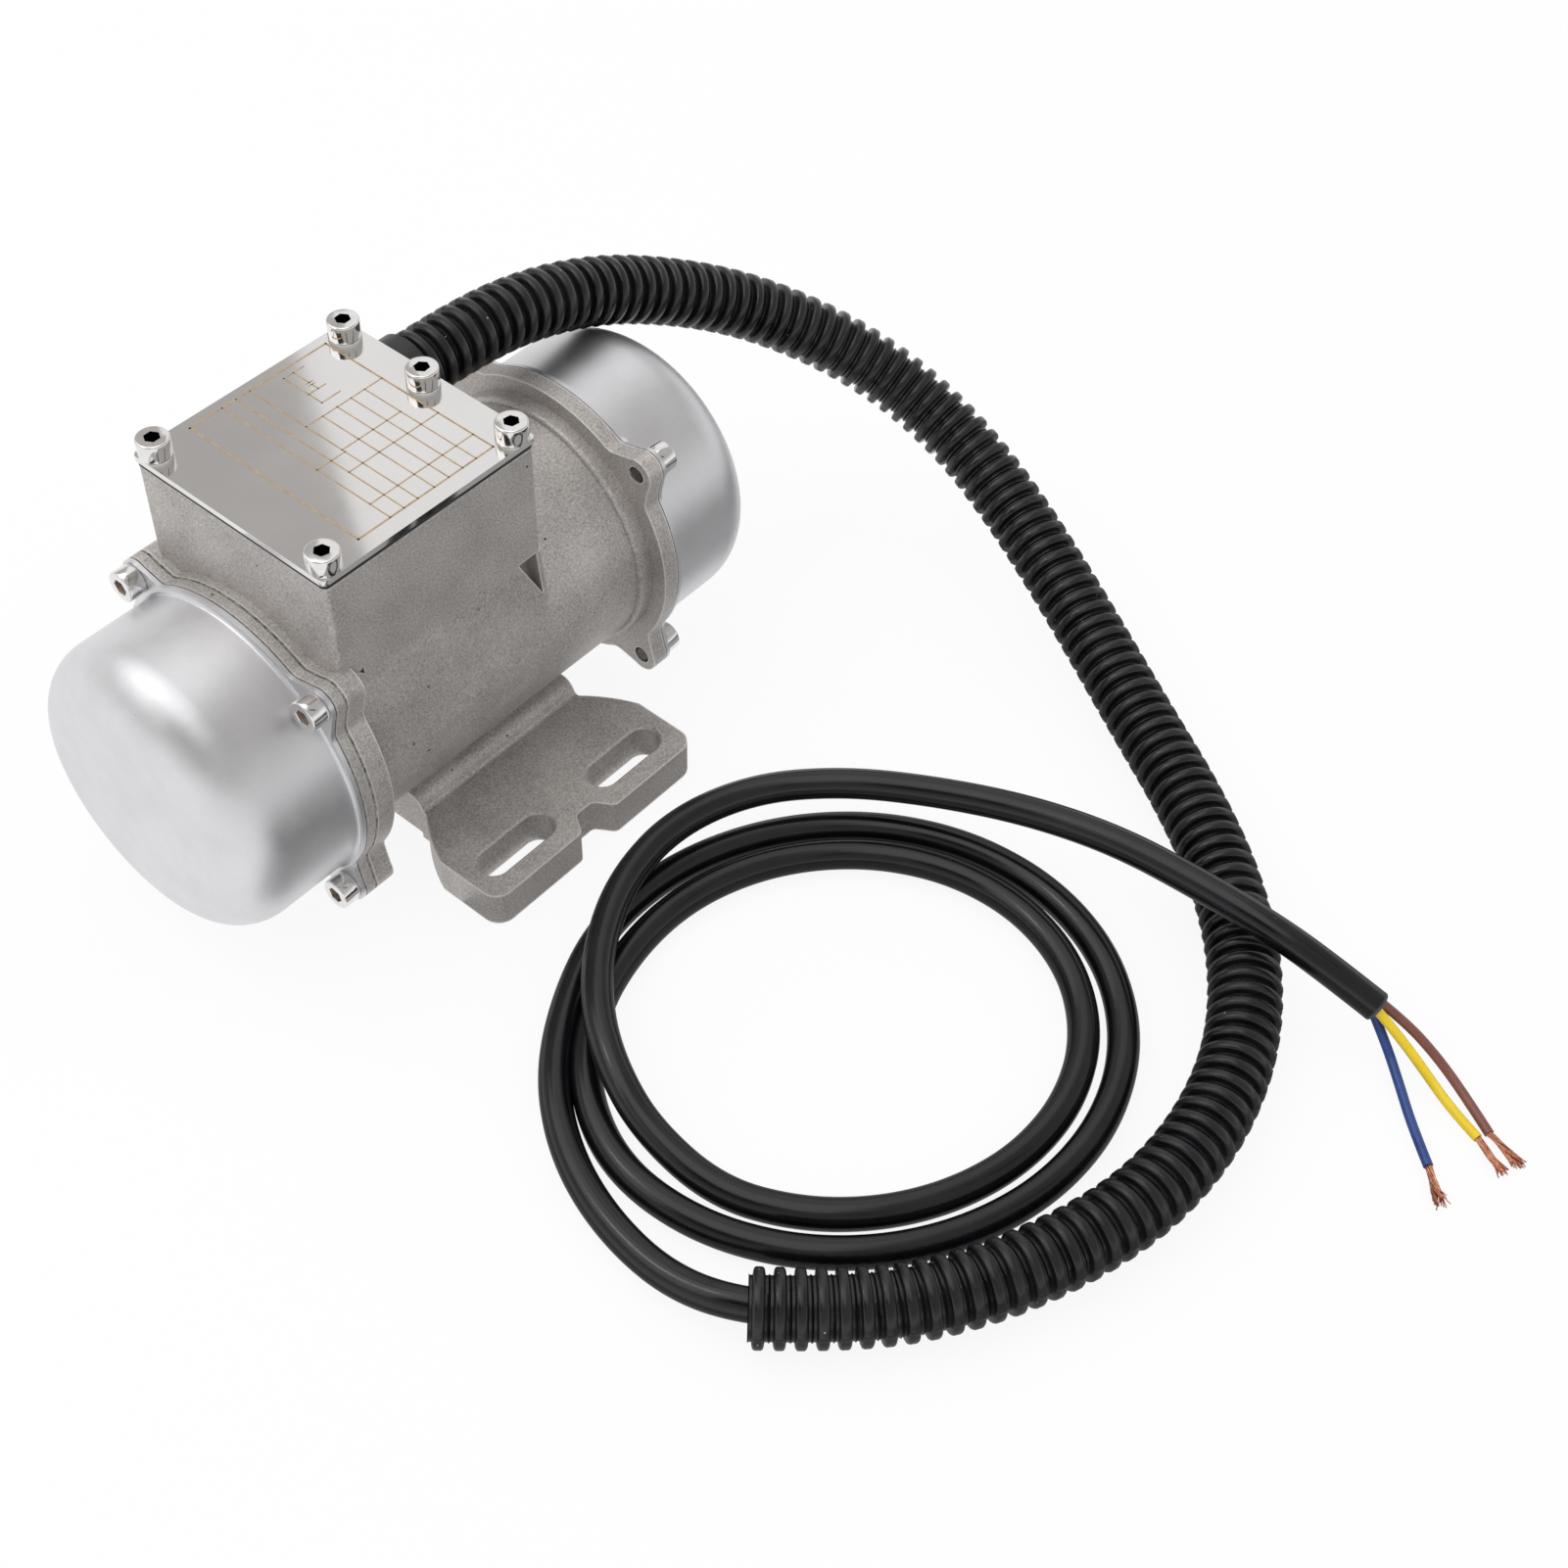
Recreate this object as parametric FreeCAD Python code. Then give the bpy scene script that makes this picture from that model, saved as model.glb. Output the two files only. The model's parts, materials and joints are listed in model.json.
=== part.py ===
import FreeCAD
import Part
import math
import os

# Small foot-mounted vibration motor with a terminal box, a corrugated conduit
# and a round three-core cable. Millimetres, +Z up, motor axis along X.
# The origin is the centre of the foot bolt pattern on the underside of the feet.

Vector = FreeCAD.Vector
os.makedirs("parts", exist_ok=True)

# ---------------------------------------------------------------- driving dimensions
AXIS_Z = 47.0            # height of the motor axis above the feet
BODY_HALF = 54.8         # half length of the housing casting, flange face to flange face

BARREL_R = 36.4
BORE_R = 33.0
COLLAR_R = 37.8          # raised collar where the barrel meets the rear flange
COLLAR_WIDTH = 4.5
RIM_R = 42.5             # flange rim
BOLT_CIRCLE_R = 46.5
EAR_R = 4.9
EAR_ROOT_R = 39.0        # the ear's flanks run from here, inside the rim,
EAR_ROOT_HALF = 10.3
EAR_SHOULDER_R = 48.1    # to here, where they meet its round tip
EAR_SHOULDER_HALF = 4.56
EAR_ROOT_FILLET = 4.0
EAR_ANGLES = (45, 135, 225, 315)
FRONT_FLANGE = 5.6       # housing flange at the end shield
REAR_FLANGE = 4.9
SHIELD_FLANGE = 3.0
GASKET = 0.5
CAP_SEAL = 0.3

CAP_R = 40.8
CAP_LENGTH = 34.8
CAP_CORNER_R = 13.9
CAP_WALL = 1.2

BEARING_OD = 35.0        # 6202 deep groove ball bearing
BEARING_ID = 15.0
BEARING_W = 11.0
BALL_R = 2.85
BALL_COUNT = 8
BALL_PITCH_R = 12.5
GROOVE_R = 3.15
SEAT_BOSS_R = 21.5
SHAFT_HOLE_R = 11.0
REAR_BEARING_X = 40.5    # inner face of the rear bearing
REAR_WEB_X = 47.0        # inner face of the wall behind it
FRONT_BEARING_X = -42.5  # inner face of the front bearing

CORE_HALF = 20.0         # half length of the stator and rotor cores
ROTOR_R = 18.0
STATOR_BORE_R = 18.4
SLOTS = 16
BARS = 14
SHAFT_CORE_R = 8.5
SHAFT_END_R = 7.0
SHAFT_END_X = 86.0

WEIGHT_R = 33.0
WEIGHT_HUB_R = 13.0
WEIGHT_T = 9.5
FIXED_WEIGHT_X = 62.0    # inner face of each fixed weight
WEIGHT_GAP = 0.6
KEY_W = 4.0

PAD_HALF_X = 37.8
PAD_OUTER_Y = 63.5
PAD_T = 11.0
PAD_CORNER_R = 5.0
NECK_HALF_X = 29.0
NECK_Y = 28.5
SHOULDER_TOP = 15.1      # raised middle of the foot, under the barrel
SHOULDER_R = 4.4
SHOULDER_FILLET = 1.5
FLARE_Y = 43.0
NOTCH_DEPTH = 5.5
NOTCH_HALF_OUTER = 6.5
NOTCH_HALF_INNER = 3.0
NOTCH_FILLET = 2.2
SLOT_PITCH_X = 41.0
SLOT_PITCH_Y = 106.0
SLOT_R = 4.5
SLOT_TRAVEL = 16.0
SLOT_CHAMFER = 0.6
RELIEF = 2.0             # shallow channel under the middle of the foot

BOX_X0 = -52.5
BOX_X1 = 15.1
BOX_HALF_Y = 32.9
BOX_TOP = 111.9
BOX_WALL = 3.5
BOX_CORNER_R = 2.0
# Pockets in the long walls: x, z and depth of each corner.
SKIRT_TOP = 78.4
SKIRT_X0 = -50.5
SKIRT_END_R = 1.3
SKIRT_SINK = 0.05
SKIRT_DEPTH = 1.6
REAR_POCKET = ((6.7, 78.3, 3.1), (13.0, 78.3, 4.6), (13.0, 65.4, 2.4))
FRONT_POCKET = ((-46.7, 81.2, 1.2), (-45.1, 82.1, 1.2), (-44.8, 79.4, 1.2))
LID_OVERHANG = 0.4
LID_T = 1.6
LID_GASKET = 1.4
LID_GASKET_INSET = 0.4
LID_SCREW_INSET = 4.0
LID_MIDDLE_SCREW_Y = 1.2

M5_HEAD_R = 4.25
M5_HEAD_H = 5.0
M5_HEX = 4.0
M5_SHANK_R = 2.45
M5_TAP_R = 2.5
M5_CLEAR_R = 2.8

CONNECTOR_Y = 19.5       # conduit connector in the rear wall of the terminal box
CONNECTOR_Z = 102.5
CONNECTOR_R = 10.3
CONNECTOR_LENGTH = 7.9
CONNECTOR_THREAD_R = 5.3
CONNECTOR_BORE_R = 4.3

CONDUIT_R = 9.3
CONDUIT_BORE_R = 7.1
CABLE_R = 4.1
CORE_R = 1.25
COPPER_R = 0.65
COIL_X = -4.5
COIL_Y = -151.5
COIL_OUTER_TURN_R = 66.5
COIL_INNER_TURN_R = 58.0

PLATE_Z = 86.0           # underside of the component plate in the terminal box
PLATE_T = 1.2
PLATE_PILLARS_X = (-28.0, 1.5)
PLATE_SCREW_R = 1.95
LEAD_HOLE_X = -38.5      # passage for the motor leads
CAPACITOR = (-31.0, 5.0, -25.5, -10.5, 20.0)   # x0, x1, y0, y1, height
TERMINAL_XS = (-17.0, -9.0, -1.0)
TERMINAL_Y0 = 6.0
TERMINAL_Y1 = 22.0
TERMINAL_H = 10.0
ENTRY_X = 3.8            # inner end of the cable's sheath
EARTH_SCREW = (-40.0, 19.0)
EARTH_Z = 84.0

WASHER_T = 1.6
CIRCLIP_T = 1.0
CLAMP_BOLT_R = 2.0

SHIELD_X1 = -BODY_HALF - GASKET          # inner face of the end shield's flange
SHIELD_X0 = SHIELD_X1 - SHIELD_FLANGE    # outer face
FRONT_CAP_X = SHIELD_X0 - CAP_SEAL       # face of the cap's flange on its seal
REAR_CAP_X = BODY_HALF + CAP_SEAL
ADJUSTABLE_X = FIXED_WEIGHT_X + WEIGHT_T + WEIGHT_GAP
CIRCLIP_X = ADJUSTABLE_X + WEIGHT_T + WEIGHT_GAP
CLAMP_Z = AXIS_Z + SHAFT_END_R + 4.6
PLATE_TOP = PLATE_Z + PLATE_T
LID_Z = BOX_TOP + LID_GASKET
LID_TOP = LID_Z + LID_T
CONDUIT_START_X = BOX_X1 + CONNECTOR_LENGTH
CABLE_Z = CABLE_R + 0.05
COIL_START = math.radians(110)

# Route of the conduit, from the connector to its open end on the floor.
CONDUIT_ROUTE = [
    (CONDUIT_START_X, 19.5, 102.5), (45, 19.5, 102.5), (69, 18.6, 98.5), (91, 16, 91.5),
    (110.5, 10.8, 82.5), (127.5, 3, 73.5), (141, -8, 64.5), (151.5, -22, 55.5),
    (158, -39, 46.5), (159.5, -58.5, 37.5), (156, -79, 29), (148, -102, 21.5),
    (137.5, -126, 15), (124.5, -151, 11), (110, -177, 9.4), (93, -200, 9.35),
    (73, -219, 9.35), (50, -232.5, 9.35), (25, -239, 9.35), (0, -239, 9.35),
    (-24, -232.5, 9.35), (-47, -221.5, 9.35), (-67, -206, 9.35), (-82.5, -187, 9.35),
]
# The cable runs on from the conduit's mouth to the first turn of the coil.
CABLE_LEAD_ROUTE = [
    (-87.3, -168, 5.2), (-85.5, -147, 4.3), (-78.5, -127, 4.2), (-66, -109.5, 4.15),
    (-48.5, -96.3, 4.15),
    (COIL_X + COIL_OUTER_TURN_R * math.cos(COIL_START),
     COIL_Y + COIL_OUTER_TURN_R * math.sin(COIL_START), CABLE_Z),
]
# The tail climbs over the coil and the conduit to its stripped end.
TAIL_ROUTE = [
    (COIL_X - COIL_INNER_TURN_R, COIL_Y, CABLE_Z), (-61.5, -137.5, 7.2), (-56.5, -121.5, 11.8),
    (-47, -107, 13.2), (-32, -93.5, 13.5), (-12, -83.5, 13.6), (10.5, -81, 14), (32.5, -89, 14.8),
    (49.5, -106, 16), (61.5, -128, 18.2), (69.5, -152, 22), (73.8, -176, 25),
    (75, -200, 25.9), (75.5, -223, 25.5), (77.5, -238, 21), (80.5, -250.5, 14.5),
]
CORE_ROUTES = {
    "core_brown": [(81.8, -250.55, 15.15), (84.2, -258.5, 10.3), (84.3, -268.5, 5),
                   (81, -279, 1.9), (75.5, -289, 1.4)],
    "core_yellow": [(79.35, -251.15, 15.15), (80.3, -259, 9.2), (79, -268.5, 4),
                    (75.5, -278.5, 1.5), (72.5, -287.5, 1.4)],
    "core_blue": [(80.35, -249.9, 13.2), (79.5, -256.5, 5.2), (73, -265, 2.3), (65, -273.5, 1.5),
                  (57.5, -282.5, 1.4)],
}
COPPER_LENGTH = 12.0

# Wires in the terminal box, between the stator, the terminal block and the cable's inner end.
MOTOR_LEADS = [
    [(LEAD_HOLE_X, -2.2, 74), (LEAD_HOLE_X, -2.2, 92), (-34, -1.5, 98.5), (-25, 0, 99.5),
     (-18.5, 1, 95.5), (TERMINAL_XS[0], 4, 91)],
    [(LEAD_HOLE_X, 2.2, 74), (LEAD_HOLE_X, 2.2, 94), (-34, 3, 102.5), (-22, 3.5, 104),
     (-12, 3.6, 99.5), (TERMINAL_XS[1], 4.2, 91)],
]
SUPPLY_LEADS = [
    [(ENTRY_X, CONNECTOR_Y + 1.8, 103.8), (-3.5, CONNECTOR_Y + 1.8, 103.8), (-11, 24.5, 101),
     (-16, 26.4, 95.5), (TERMINAL_XS[0], 24.5, 91.2)],
    [(ENTRY_X, CONNECTOR_Y + 1.6, 100.7), (-1, CONNECTOR_Y + 1.6, 100.7), (-5.5, 24.5, 98.5),
     (-8.5, 26, 94.5), (TERMINAL_XS[1], 24.5, 90.9)],
]
EARTH_LEADS = [
    [(ENTRY_X, CONNECTOR_Y - 1.9, 102.2), (-8, CONNECTOR_Y - 1.9, 102.2), (-22, 16, 100.5),
     (-32, 17.5, 96), (-37, 18.6, 90.5)],
]


# ---------------------------------------------------------------- helpers
def cyl_x(radius, x0, x1, y=0.0, z=AXIS_Z):
    return Part.makeCylinder(radius, x1 - x0, Vector(x0, y, z), Vector(1, 0, 0))


def ring_x(outer, inner, x0, x1):
    return cyl_x(outer, x0, x1).cut(cyl_x(inner, x0 - 1, x1 + 1))


def cyl_z(radius, z0, z1, x, y):
    return Part.makeCylinder(radius, z1 - z0, Vector(x, y, z0))


def block(x0, x1, y0, y1, z0, z1):
    return Part.makeBox(x1 - x0, y1 - y0, z1 - z0, Vector(x0, y0, z0))


def arc(start, middle, end):
    return Part.Arc(Vector(*start), Vector(*middle), Vector(*end)).toShape()


def line(start, end):
    return Part.LineSegment(Vector(*start), Vector(*end)).toShape()


def polygon_face(points):
    return Part.Face(Part.makePolygon(points + [points[0]]))


def revolve_x(profile):
    """Turn a closed (x, radius) outline about the motor axis."""
    face = polygon_face([Vector(x, 0, AXIS_Z + r) for x, r in profile])
    return face.revolve(Vector(0, 0, AXIS_Z), Vector(1, 0, 0), 360)


def fuse(shapes):
    return shapes[0].multiFuse(shapes[1:]).removeSplitter()


def rotate_x(shape, degrees):
    turned = shape.copy()
    turned.rotate(Vector(0, 0, AXIS_Z), Vector(1, 0, 0), degrees)
    return turned


def mirror_x(shape):
    return shape.mirror(Vector(0, 0, 0), Vector(1, 0, 0))


def edges_where(shape, test):
    return [edge for edge in shape.Edges if test(edge)]


def ear_positions():
    for degrees in EAR_ANGLES:
        angle = math.radians(degrees)
        yield degrees, BOLT_CIRCLE_R * math.cos(angle), AXIS_Z + BOLT_CIRCLE_R * math.sin(angle)


def export(name, shape):
    if not shape.isValid():
        print("INVALID", name)
    shape.exportStep("parts/%s.step" % name)
    print("%-26s %2d solid(s) %9.1f mm3" % (name, len(shape.Solids), shape.Volume))


# ---------------------------------------------------------------- shared shapes
def eared_disc(x0, x1, hole_r):
    """Round flange plate with four rounded ears, each with one screw hole."""
    ear_face = polygon_face([
        Vector(x0, EAR_ROOT_R, -EAR_ROOT_HALF), Vector(x0, EAR_SHOULDER_R, -EAR_SHOULDER_HALF),
        Vector(x0, EAR_SHOULDER_R, EAR_SHOULDER_HALF), Vector(x0, EAR_ROOT_R, EAR_ROOT_HALF)])
    ear = ear_face.extrude(Vector(x1 - x0, 0, 0))
    tip = Part.makeCylinder(EAR_R, x1 - x0, Vector(x0, BOLT_CIRCLE_R, 0), Vector(1, 0, 0))
    ear = ear.fuse(tip)
    ear.translate(Vector(0, 0, AXIS_Z))
    disc = fuse([cyl_x(RIM_R, x0, x1)] + [rotate_x(ear, degrees) for degrees in EAR_ANGLES])
    middle = Vector((x0 + x1) / 2, 0, AXIS_Z)
    disc = disc.makeFillet(EAR_ROOT_FILLET, edges_where(
        disc, lambda e: abs(e.CenterOfMass.x - middle.x) < 0.01
        and abs((e.CenterOfMass - middle).Length - RIM_R) < 0.1))
    for _, y, z in ear_positions():
        disc = disc.cut(cyl_x(hole_r, x0 - 1, x1 + 1, y, z))
    return disc


def socket_screw(length, point, direction):
    """M5 socket-head screw. The point is under the head, and the shank runs along direction."""
    axis = Vector(*direction)
    start = Vector(*point)
    head = Part.makeCylinder(M5_HEAD_R, M5_HEAD_H, start - axis * M5_HEAD_H, axis)
    top_edges = edges_where(head, lambda e: abs((e.CenterOfMass - start).dot(axis) + M5_HEAD_H) < 0.01)
    head = head.makeChamfer(0.45, top_edges)
    hexagon = Part.makePolygon([
        Vector(M5_HEX / math.sqrt(3) * math.cos(math.radians(60 * k)),
               M5_HEX / math.sqrt(3) * math.sin(math.radians(60 * k)), 0) for k in range(7)])
    socket = Part.Face(hexagon).extrude(Vector(0, 0, 2.8))
    socket.Placement = FreeCAD.Placement(
        start - axis * (M5_HEAD_H + 0.01), FreeCAD.Rotation(Vector(0, 0, 1), axis))
    shank = Part.makeCylinder(M5_SHANK_R, length, start, axis)
    return head.cut(socket).fuse(shank)


# ---------------------------------------------------------------- housing casting
def foot_pad():
    """One foot plate on the -Y side, seen from above, with two slots and a notch."""
    corner_x = PAD_HALF_X - PAD_CORNER_R
    corner_y = -PAD_OUTER_Y + PAD_CORNER_R
    diagonal = PAD_CORNER_R * math.sqrt(0.5)
    edges = []
    for side in (1, -1):
        edges.append(line((side * NECK_HALF_X, 0, 0), (side * NECK_HALF_X, -NECK_Y, 0)))
        edges.append(arc((side * NECK_HALF_X, -NECK_Y, 0), (side * 34.0, -35.3, 0),
                         (side * PAD_HALF_X, -FLARE_Y, 0)))
        edges.append(line((side * PAD_HALF_X, -FLARE_Y, 0), (side * PAD_HALF_X, corner_y, 0)))
        edges.append(arc((side * PAD_HALF_X, corner_y, 0),
                         (side * (corner_x + diagonal), corner_y - diagonal, 0),
                         (side * corner_x, -PAD_OUTER_Y, 0)))
        edges.append(line((side * corner_x, -PAD_OUTER_Y, 0),
                          (side * NOTCH_HALF_OUTER, -PAD_OUTER_Y, 0)))
        edges.append(line((side * NOTCH_HALF_OUTER, -PAD_OUTER_Y, 0),
                          (side * NOTCH_HALF_INNER, -PAD_OUTER_Y + NOTCH_DEPTH, 0)))
    edges.append(line((-NOTCH_HALF_INNER, -PAD_OUTER_Y + NOTCH_DEPTH, 0),
                      (NOTCH_HALF_INNER, -PAD_OUTER_Y + NOTCH_DEPTH, 0)))
    edges.append(line((-NECK_HALF_X, 0, 0), (NECK_HALF_X, 0, 0)))
    outline = Part.Wire(Part.__sortEdges__(edges))
    pad = Part.Face(outline).extrude(Vector(0, 0, PAD_T))
    pad = pad.makeFillet(NOTCH_FILLET, edges_where(
        pad, lambda e: abs(e.CenterOfMass.x) < NOTCH_HALF_OUTER + 0.1 and e.CenterOfMass.y < -NECK_Y
        and abs(e.CenterOfMass.z - PAD_T / 2) < 0.01))
    for side in (1, -1):
        pad = pad.cut(slot_cutter(side * SLOT_PITCH_X / 2, -SLOT_PITCH_Y / 2))
    return pad


def slot_cutter(x, y):
    """Long hole along X, with a small chamfer at the top face."""
    half = SLOT_TRAVEL / 2
    cutter = fuse([cyl_z(SLOT_R, -1, PAD_T + 1, x - half, y), cyl_z(SLOT_R, -1, PAD_T + 1, x + half, y),
                   block(x - half, x + half, y - SLOT_R, y + SLOT_R, -1, PAD_T + 1)])
    wide = SLOT_R + SLOT_CHAMFER
    z0 = PAD_T - SLOT_CHAMFER
    bevel = [Part.makeCone(SLOT_R, wide, SLOT_CHAMFER, Vector(x + s * half, y, z0)) for s in (1, -1)]
    wedge = polygon_face([Vector(x - half, y - SLOT_R, z0), Vector(x - half, y + SLOT_R, z0),
                          Vector(x - half, y + wide, PAD_T), Vector(x - half, y - wide, PAD_T)])
    return fuse([cutter, wedge.extrude(Vector(SLOT_TRAVEL, 0, 0))] + bevel)


def saddle():
    """Raised middle of the foot: a rounded shoulder runs along each side, under the barrel."""
    crease_y = math.sqrt((BARREL_R + SHOULDER_FILLET) ** 2
                         - (AXIS_Z - SHOULDER_TOP - SHOULDER_FILLET) ** 2)
    shoulder_z = SHOULDER_TOP - SHOULDER_R
    toe_z = PAD_T + SHOULDER_FILLET
    reach = SHOULDER_R + SHOULDER_FILLET
    toe_angle = math.asin((toe_z - shoulder_z) / reach)
    toe_y = crease_y + reach * math.cos(toe_angle)
    barrel_angle = math.atan2(AXIS_Z - SHOULDER_TOP - SHOULDER_FILLET, -crease_y)

    def side_edges(sign):
        def point(y, z, radius=0.0, angle=0.0):
            return (-NECK_HALF_X, sign * (y + radius * math.cos(angle)), z + radius * math.sin(angle))

        toe = (toe_y, toe_z, SHOULDER_FILLET)
        shoulder = (crease_y, shoulder_z, SHOULDER_R)
        crease = (crease_y, SHOULDER_TOP + SHOULDER_FILLET, SHOULDER_FILLET)
        up = math.pi / 2
        inner = point(*crease, barrel_angle)
        return [
            line(point(toe_y, PAD_T), point(toe_y, PAD_T - 1)),
            line(point(toe_y, PAD_T - 1), point(0, PAD_T - 1)),
            arc(point(toe_y, PAD_T), point(*toe, (toe_angle - math.pi - up) / 2),
                point(*toe, toe_angle - math.pi)),
            arc(point(*shoulder, toe_angle), point(*shoulder, (toe_angle + up) / 2),
                point(*shoulder, up)),
            arc(point(*crease, -up), point(*crease, math.pi), inner),
            line(inner, (inner[0], 0, inner[2])),
        ]

    outline = Part.Wire(Part.__sortEdges__(side_edges(1) + side_edges(-1)))
    return Part.Face(outline).extrude(Vector(2 * NECK_HALF_X, 0, 0))


def rounded_box(x0, x1, half_y, z0, z1, radius):
    solid = block(x0, x1, -half_y, half_y, z0, z1)
    middle = (z0 + z1) / 2
    return solid.makeFillet(radius, edges_where(solid, lambda e: abs(e.CenterOfMass.z - middle) < 0.01))


def lid_screw_positions():
    x0 = BOX_X0 - LID_OVERHANG + LID_SCREW_INSET
    x1 = BOX_X1 + LID_OVERHANG - LID_SCREW_INSET
    y = BOX_HALF_Y + LID_OVERHANG - LID_SCREW_INSET
    return [(x0, -y), (x0, y), (x1, -y), (x1, y), (x1, LID_MIDDLE_SCREW_Y)]


def terminal_box_cavity():
    """Hollow of the terminal box: its floor follows the barrel, and the screw bosses stand in it."""
    cavity = block(BOX_X0 + BOX_WALL, BOX_X1 - BOX_WALL, -BOX_HALF_Y + BOX_WALL, BOX_HALF_Y - BOX_WALL,
                   70, BOX_TOP + 1)
    cavity = cavity.cut(cyl_x(BARREL_R + 1.0, BOX_X0, BOX_X1))
    for x, y in lid_screw_positions():
        cavity = cavity.cut(cyl_z(4.4, 60, BOX_TOP + 2, x, y))
    for x in PLATE_PILLARS_X:
        cavity = cavity.cut(cyl_z(4.0, 60, PLATE_Z, x, 0))
    return cavity


def motor_housing():
    outer = [
        cyl_x(BARREL_R, -BODY_HALF, BODY_HALF),
        eared_disc(-BODY_HALF, -BODY_HALF + FRONT_FLANGE, M5_TAP_R),
        eared_disc(BODY_HALF - REAR_FLANGE, BODY_HALF, M5_TAP_R),
    ]
    collar_x = BODY_HALF - REAR_FLANGE - COLLAR_WIDTH
    collar = cyl_x(COLLAR_R, collar_x, BODY_HALF - REAR_FLANGE)
    outer.append(collar.makeFillet(1.3, edges_where(
        collar, lambda e: len(e.Vertexes) == 1 and abs(e.CenterOfMass.x - collar_x) < 0.01)))
    pad = foot_pad()
    outer += [pad, pad.mirror(Vector(0, 0, 0), Vector(0, 1, 0)), saddle()]
    box = rounded_box(BOX_X0, BOX_X1, BOX_HALF_Y, AXIS_Z, BOX_TOP, BOX_CORNER_R)
    box = fuse([box, wall_skirt(1), wall_skirt(-1)])
    for side in (1, -1):
        for corners in (REAR_POCKET, FRONT_POCKET):
            box = box.cut(wall_pocket(side, corners))
    outer.append(box)
    housing = fuse(outer)
    for _, y, z in ear_positions():
        housing = housing.cut(cyl_x(M5_TAP_R, -BODY_HALF - 1, -BODY_HALF + FRONT_FLANGE, y, z))

    # Stator bore, rear bearing seat and shaft hole.
    housing = housing.cut(cyl_x(BORE_R, -BODY_HALF - 1, REAR_WEB_X))
    boss = cyl_x(SEAT_BOSS_R, REAR_BEARING_X - 1.5, REAR_WEB_X + 1)
    housing = housing.fuse(boss)
    seat_end = REAR_BEARING_X + BEARING_W
    housing = housing.cut(cyl_x(BEARING_OD / 2, REAR_BEARING_X - 3, seat_end))
    housing = housing.cut(cyl_x(SHAFT_HOLE_R, seat_end - 1, BODY_HALF + 1))

    # Terminal box hollow, lead passage, connector hole and tapped holes.
    housing = housing.cut(terminal_box_cavity())
    housing = housing.cut(cyl_z(4.5, AXIS_Z + 20, PLATE_Z + 2, LEAD_HOLE_X, 0))
    housing = housing.cut(cyl_x(CONNECTOR_THREAD_R + 0.05, BOX_X1 - 6, BOX_X1 + 1, CONNECTOR_Y, CONNECTOR_Z))
    for x, y in lid_screw_positions():
        housing = housing.cut(cyl_z(M5_TAP_R, BOX_TOP - 14, BOX_TOP + 1, x, y))
    for x in PLATE_PILLARS_X:
        housing = housing.cut(cyl_z(PLATE_SCREW_R + 0.05, PLATE_Z - 1.6, PLATE_Z + 1, x, 0))
    housing = housing.cut(block(-PAD_HALF_X, PAD_HALF_X, -26, 26, -1, RELIEF))
    return housing.removeSplitter()


def wall_skirt(side):
    """Drafted foot of a long wall: it leans out from the wall until it runs into the barrel."""
    rise = SKIRT_TOP - AXIS_Z
    touch_r = BARREL_R - SKIRT_SINK
    lean = math.atan2(rise, BOX_HALF_Y) - math.acos(touch_r / math.hypot(rise, BOX_HALF_Y))
    low_y = touch_r * math.cos(lean)
    low_z = AXIS_Z + touch_r * math.sin(lean)
    outline = [(BOX_HALF_Y, SKIRT_TOP), (low_y, low_z), (BOX_HALF_Y - SKIRT_DEPTH, low_z),
               (BOX_HALF_Y - SKIRT_DEPTH, SKIRT_TOP)]
    face = polygon_face([Vector(SKIRT_X0, side * y, z) for y, z in outline])
    skirt = face.extrude(Vector(BOX_X1 - SKIRT_X0, 0, 0))
    outer_y = (BOX_HALF_Y + low_y) / 2
    return skirt.makeFillet(SKIRT_END_R, edges_where(skirt, lambda e: (
        abs(e.CenterOfMass.x - BOX_X1) < 0.01 and abs(abs(e.CenterOfMass.y) - outer_y) < 0.01)))


def wall_pocket(side, corners):
    """Three-cornered pocket in a long wall. Each corner has its x, its z and its own depth."""
    outer = [Vector(x, side * (BOX_HALF_Y + 3), z) for x, z, _ in corners]
    inner = [Vector(x, side * (BOX_HALF_Y - depth), z) for x, z, depth in corners]
    faces = [polygon_face(outer), polygon_face(inner)]
    for k in range(3):
        after = (k + 1) % 3
        faces.append(polygon_face([outer[k], outer[after], inner[after], inner[k]]))
    pocket = Part.Solid(Part.Shell(faces))
    return pocket if pocket.Volume > 0 else pocket.reversed()


# ---------------------------------------------------------------- front end shield and caps
def front_end_shield():
    plate = eared_disc(SHIELD_X0, SHIELD_X1, M5_CLEAR_R)
    spigot = ring_x(BORE_R - 0.05, BORE_R - 4.0, SHIELD_X1 - 0.5, SHIELD_X1 + 6.5)
    boss = cyl_x(SEAT_BOSS_R, SHIELD_X0, FRONT_BEARING_X + 1.5)
    shield = fuse([plate, spigot, boss])
    seat_floor = FRONT_BEARING_X - BEARING_W - WASHER_T
    shield = shield.cut(cyl_x(BEARING_OD / 2, seat_floor, FRONT_BEARING_X + 3))
    return shield.cut(cyl_x(SHAFT_HOLE_R, SHIELD_X0 - 1, seat_floor + 1))


def ring_gasket(x0, x1, inner_r, hole_r):
    return eared_disc(x0, x1, hole_r).cut(cyl_x(inner_r, x0 - 1, x1 + 1))


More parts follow.
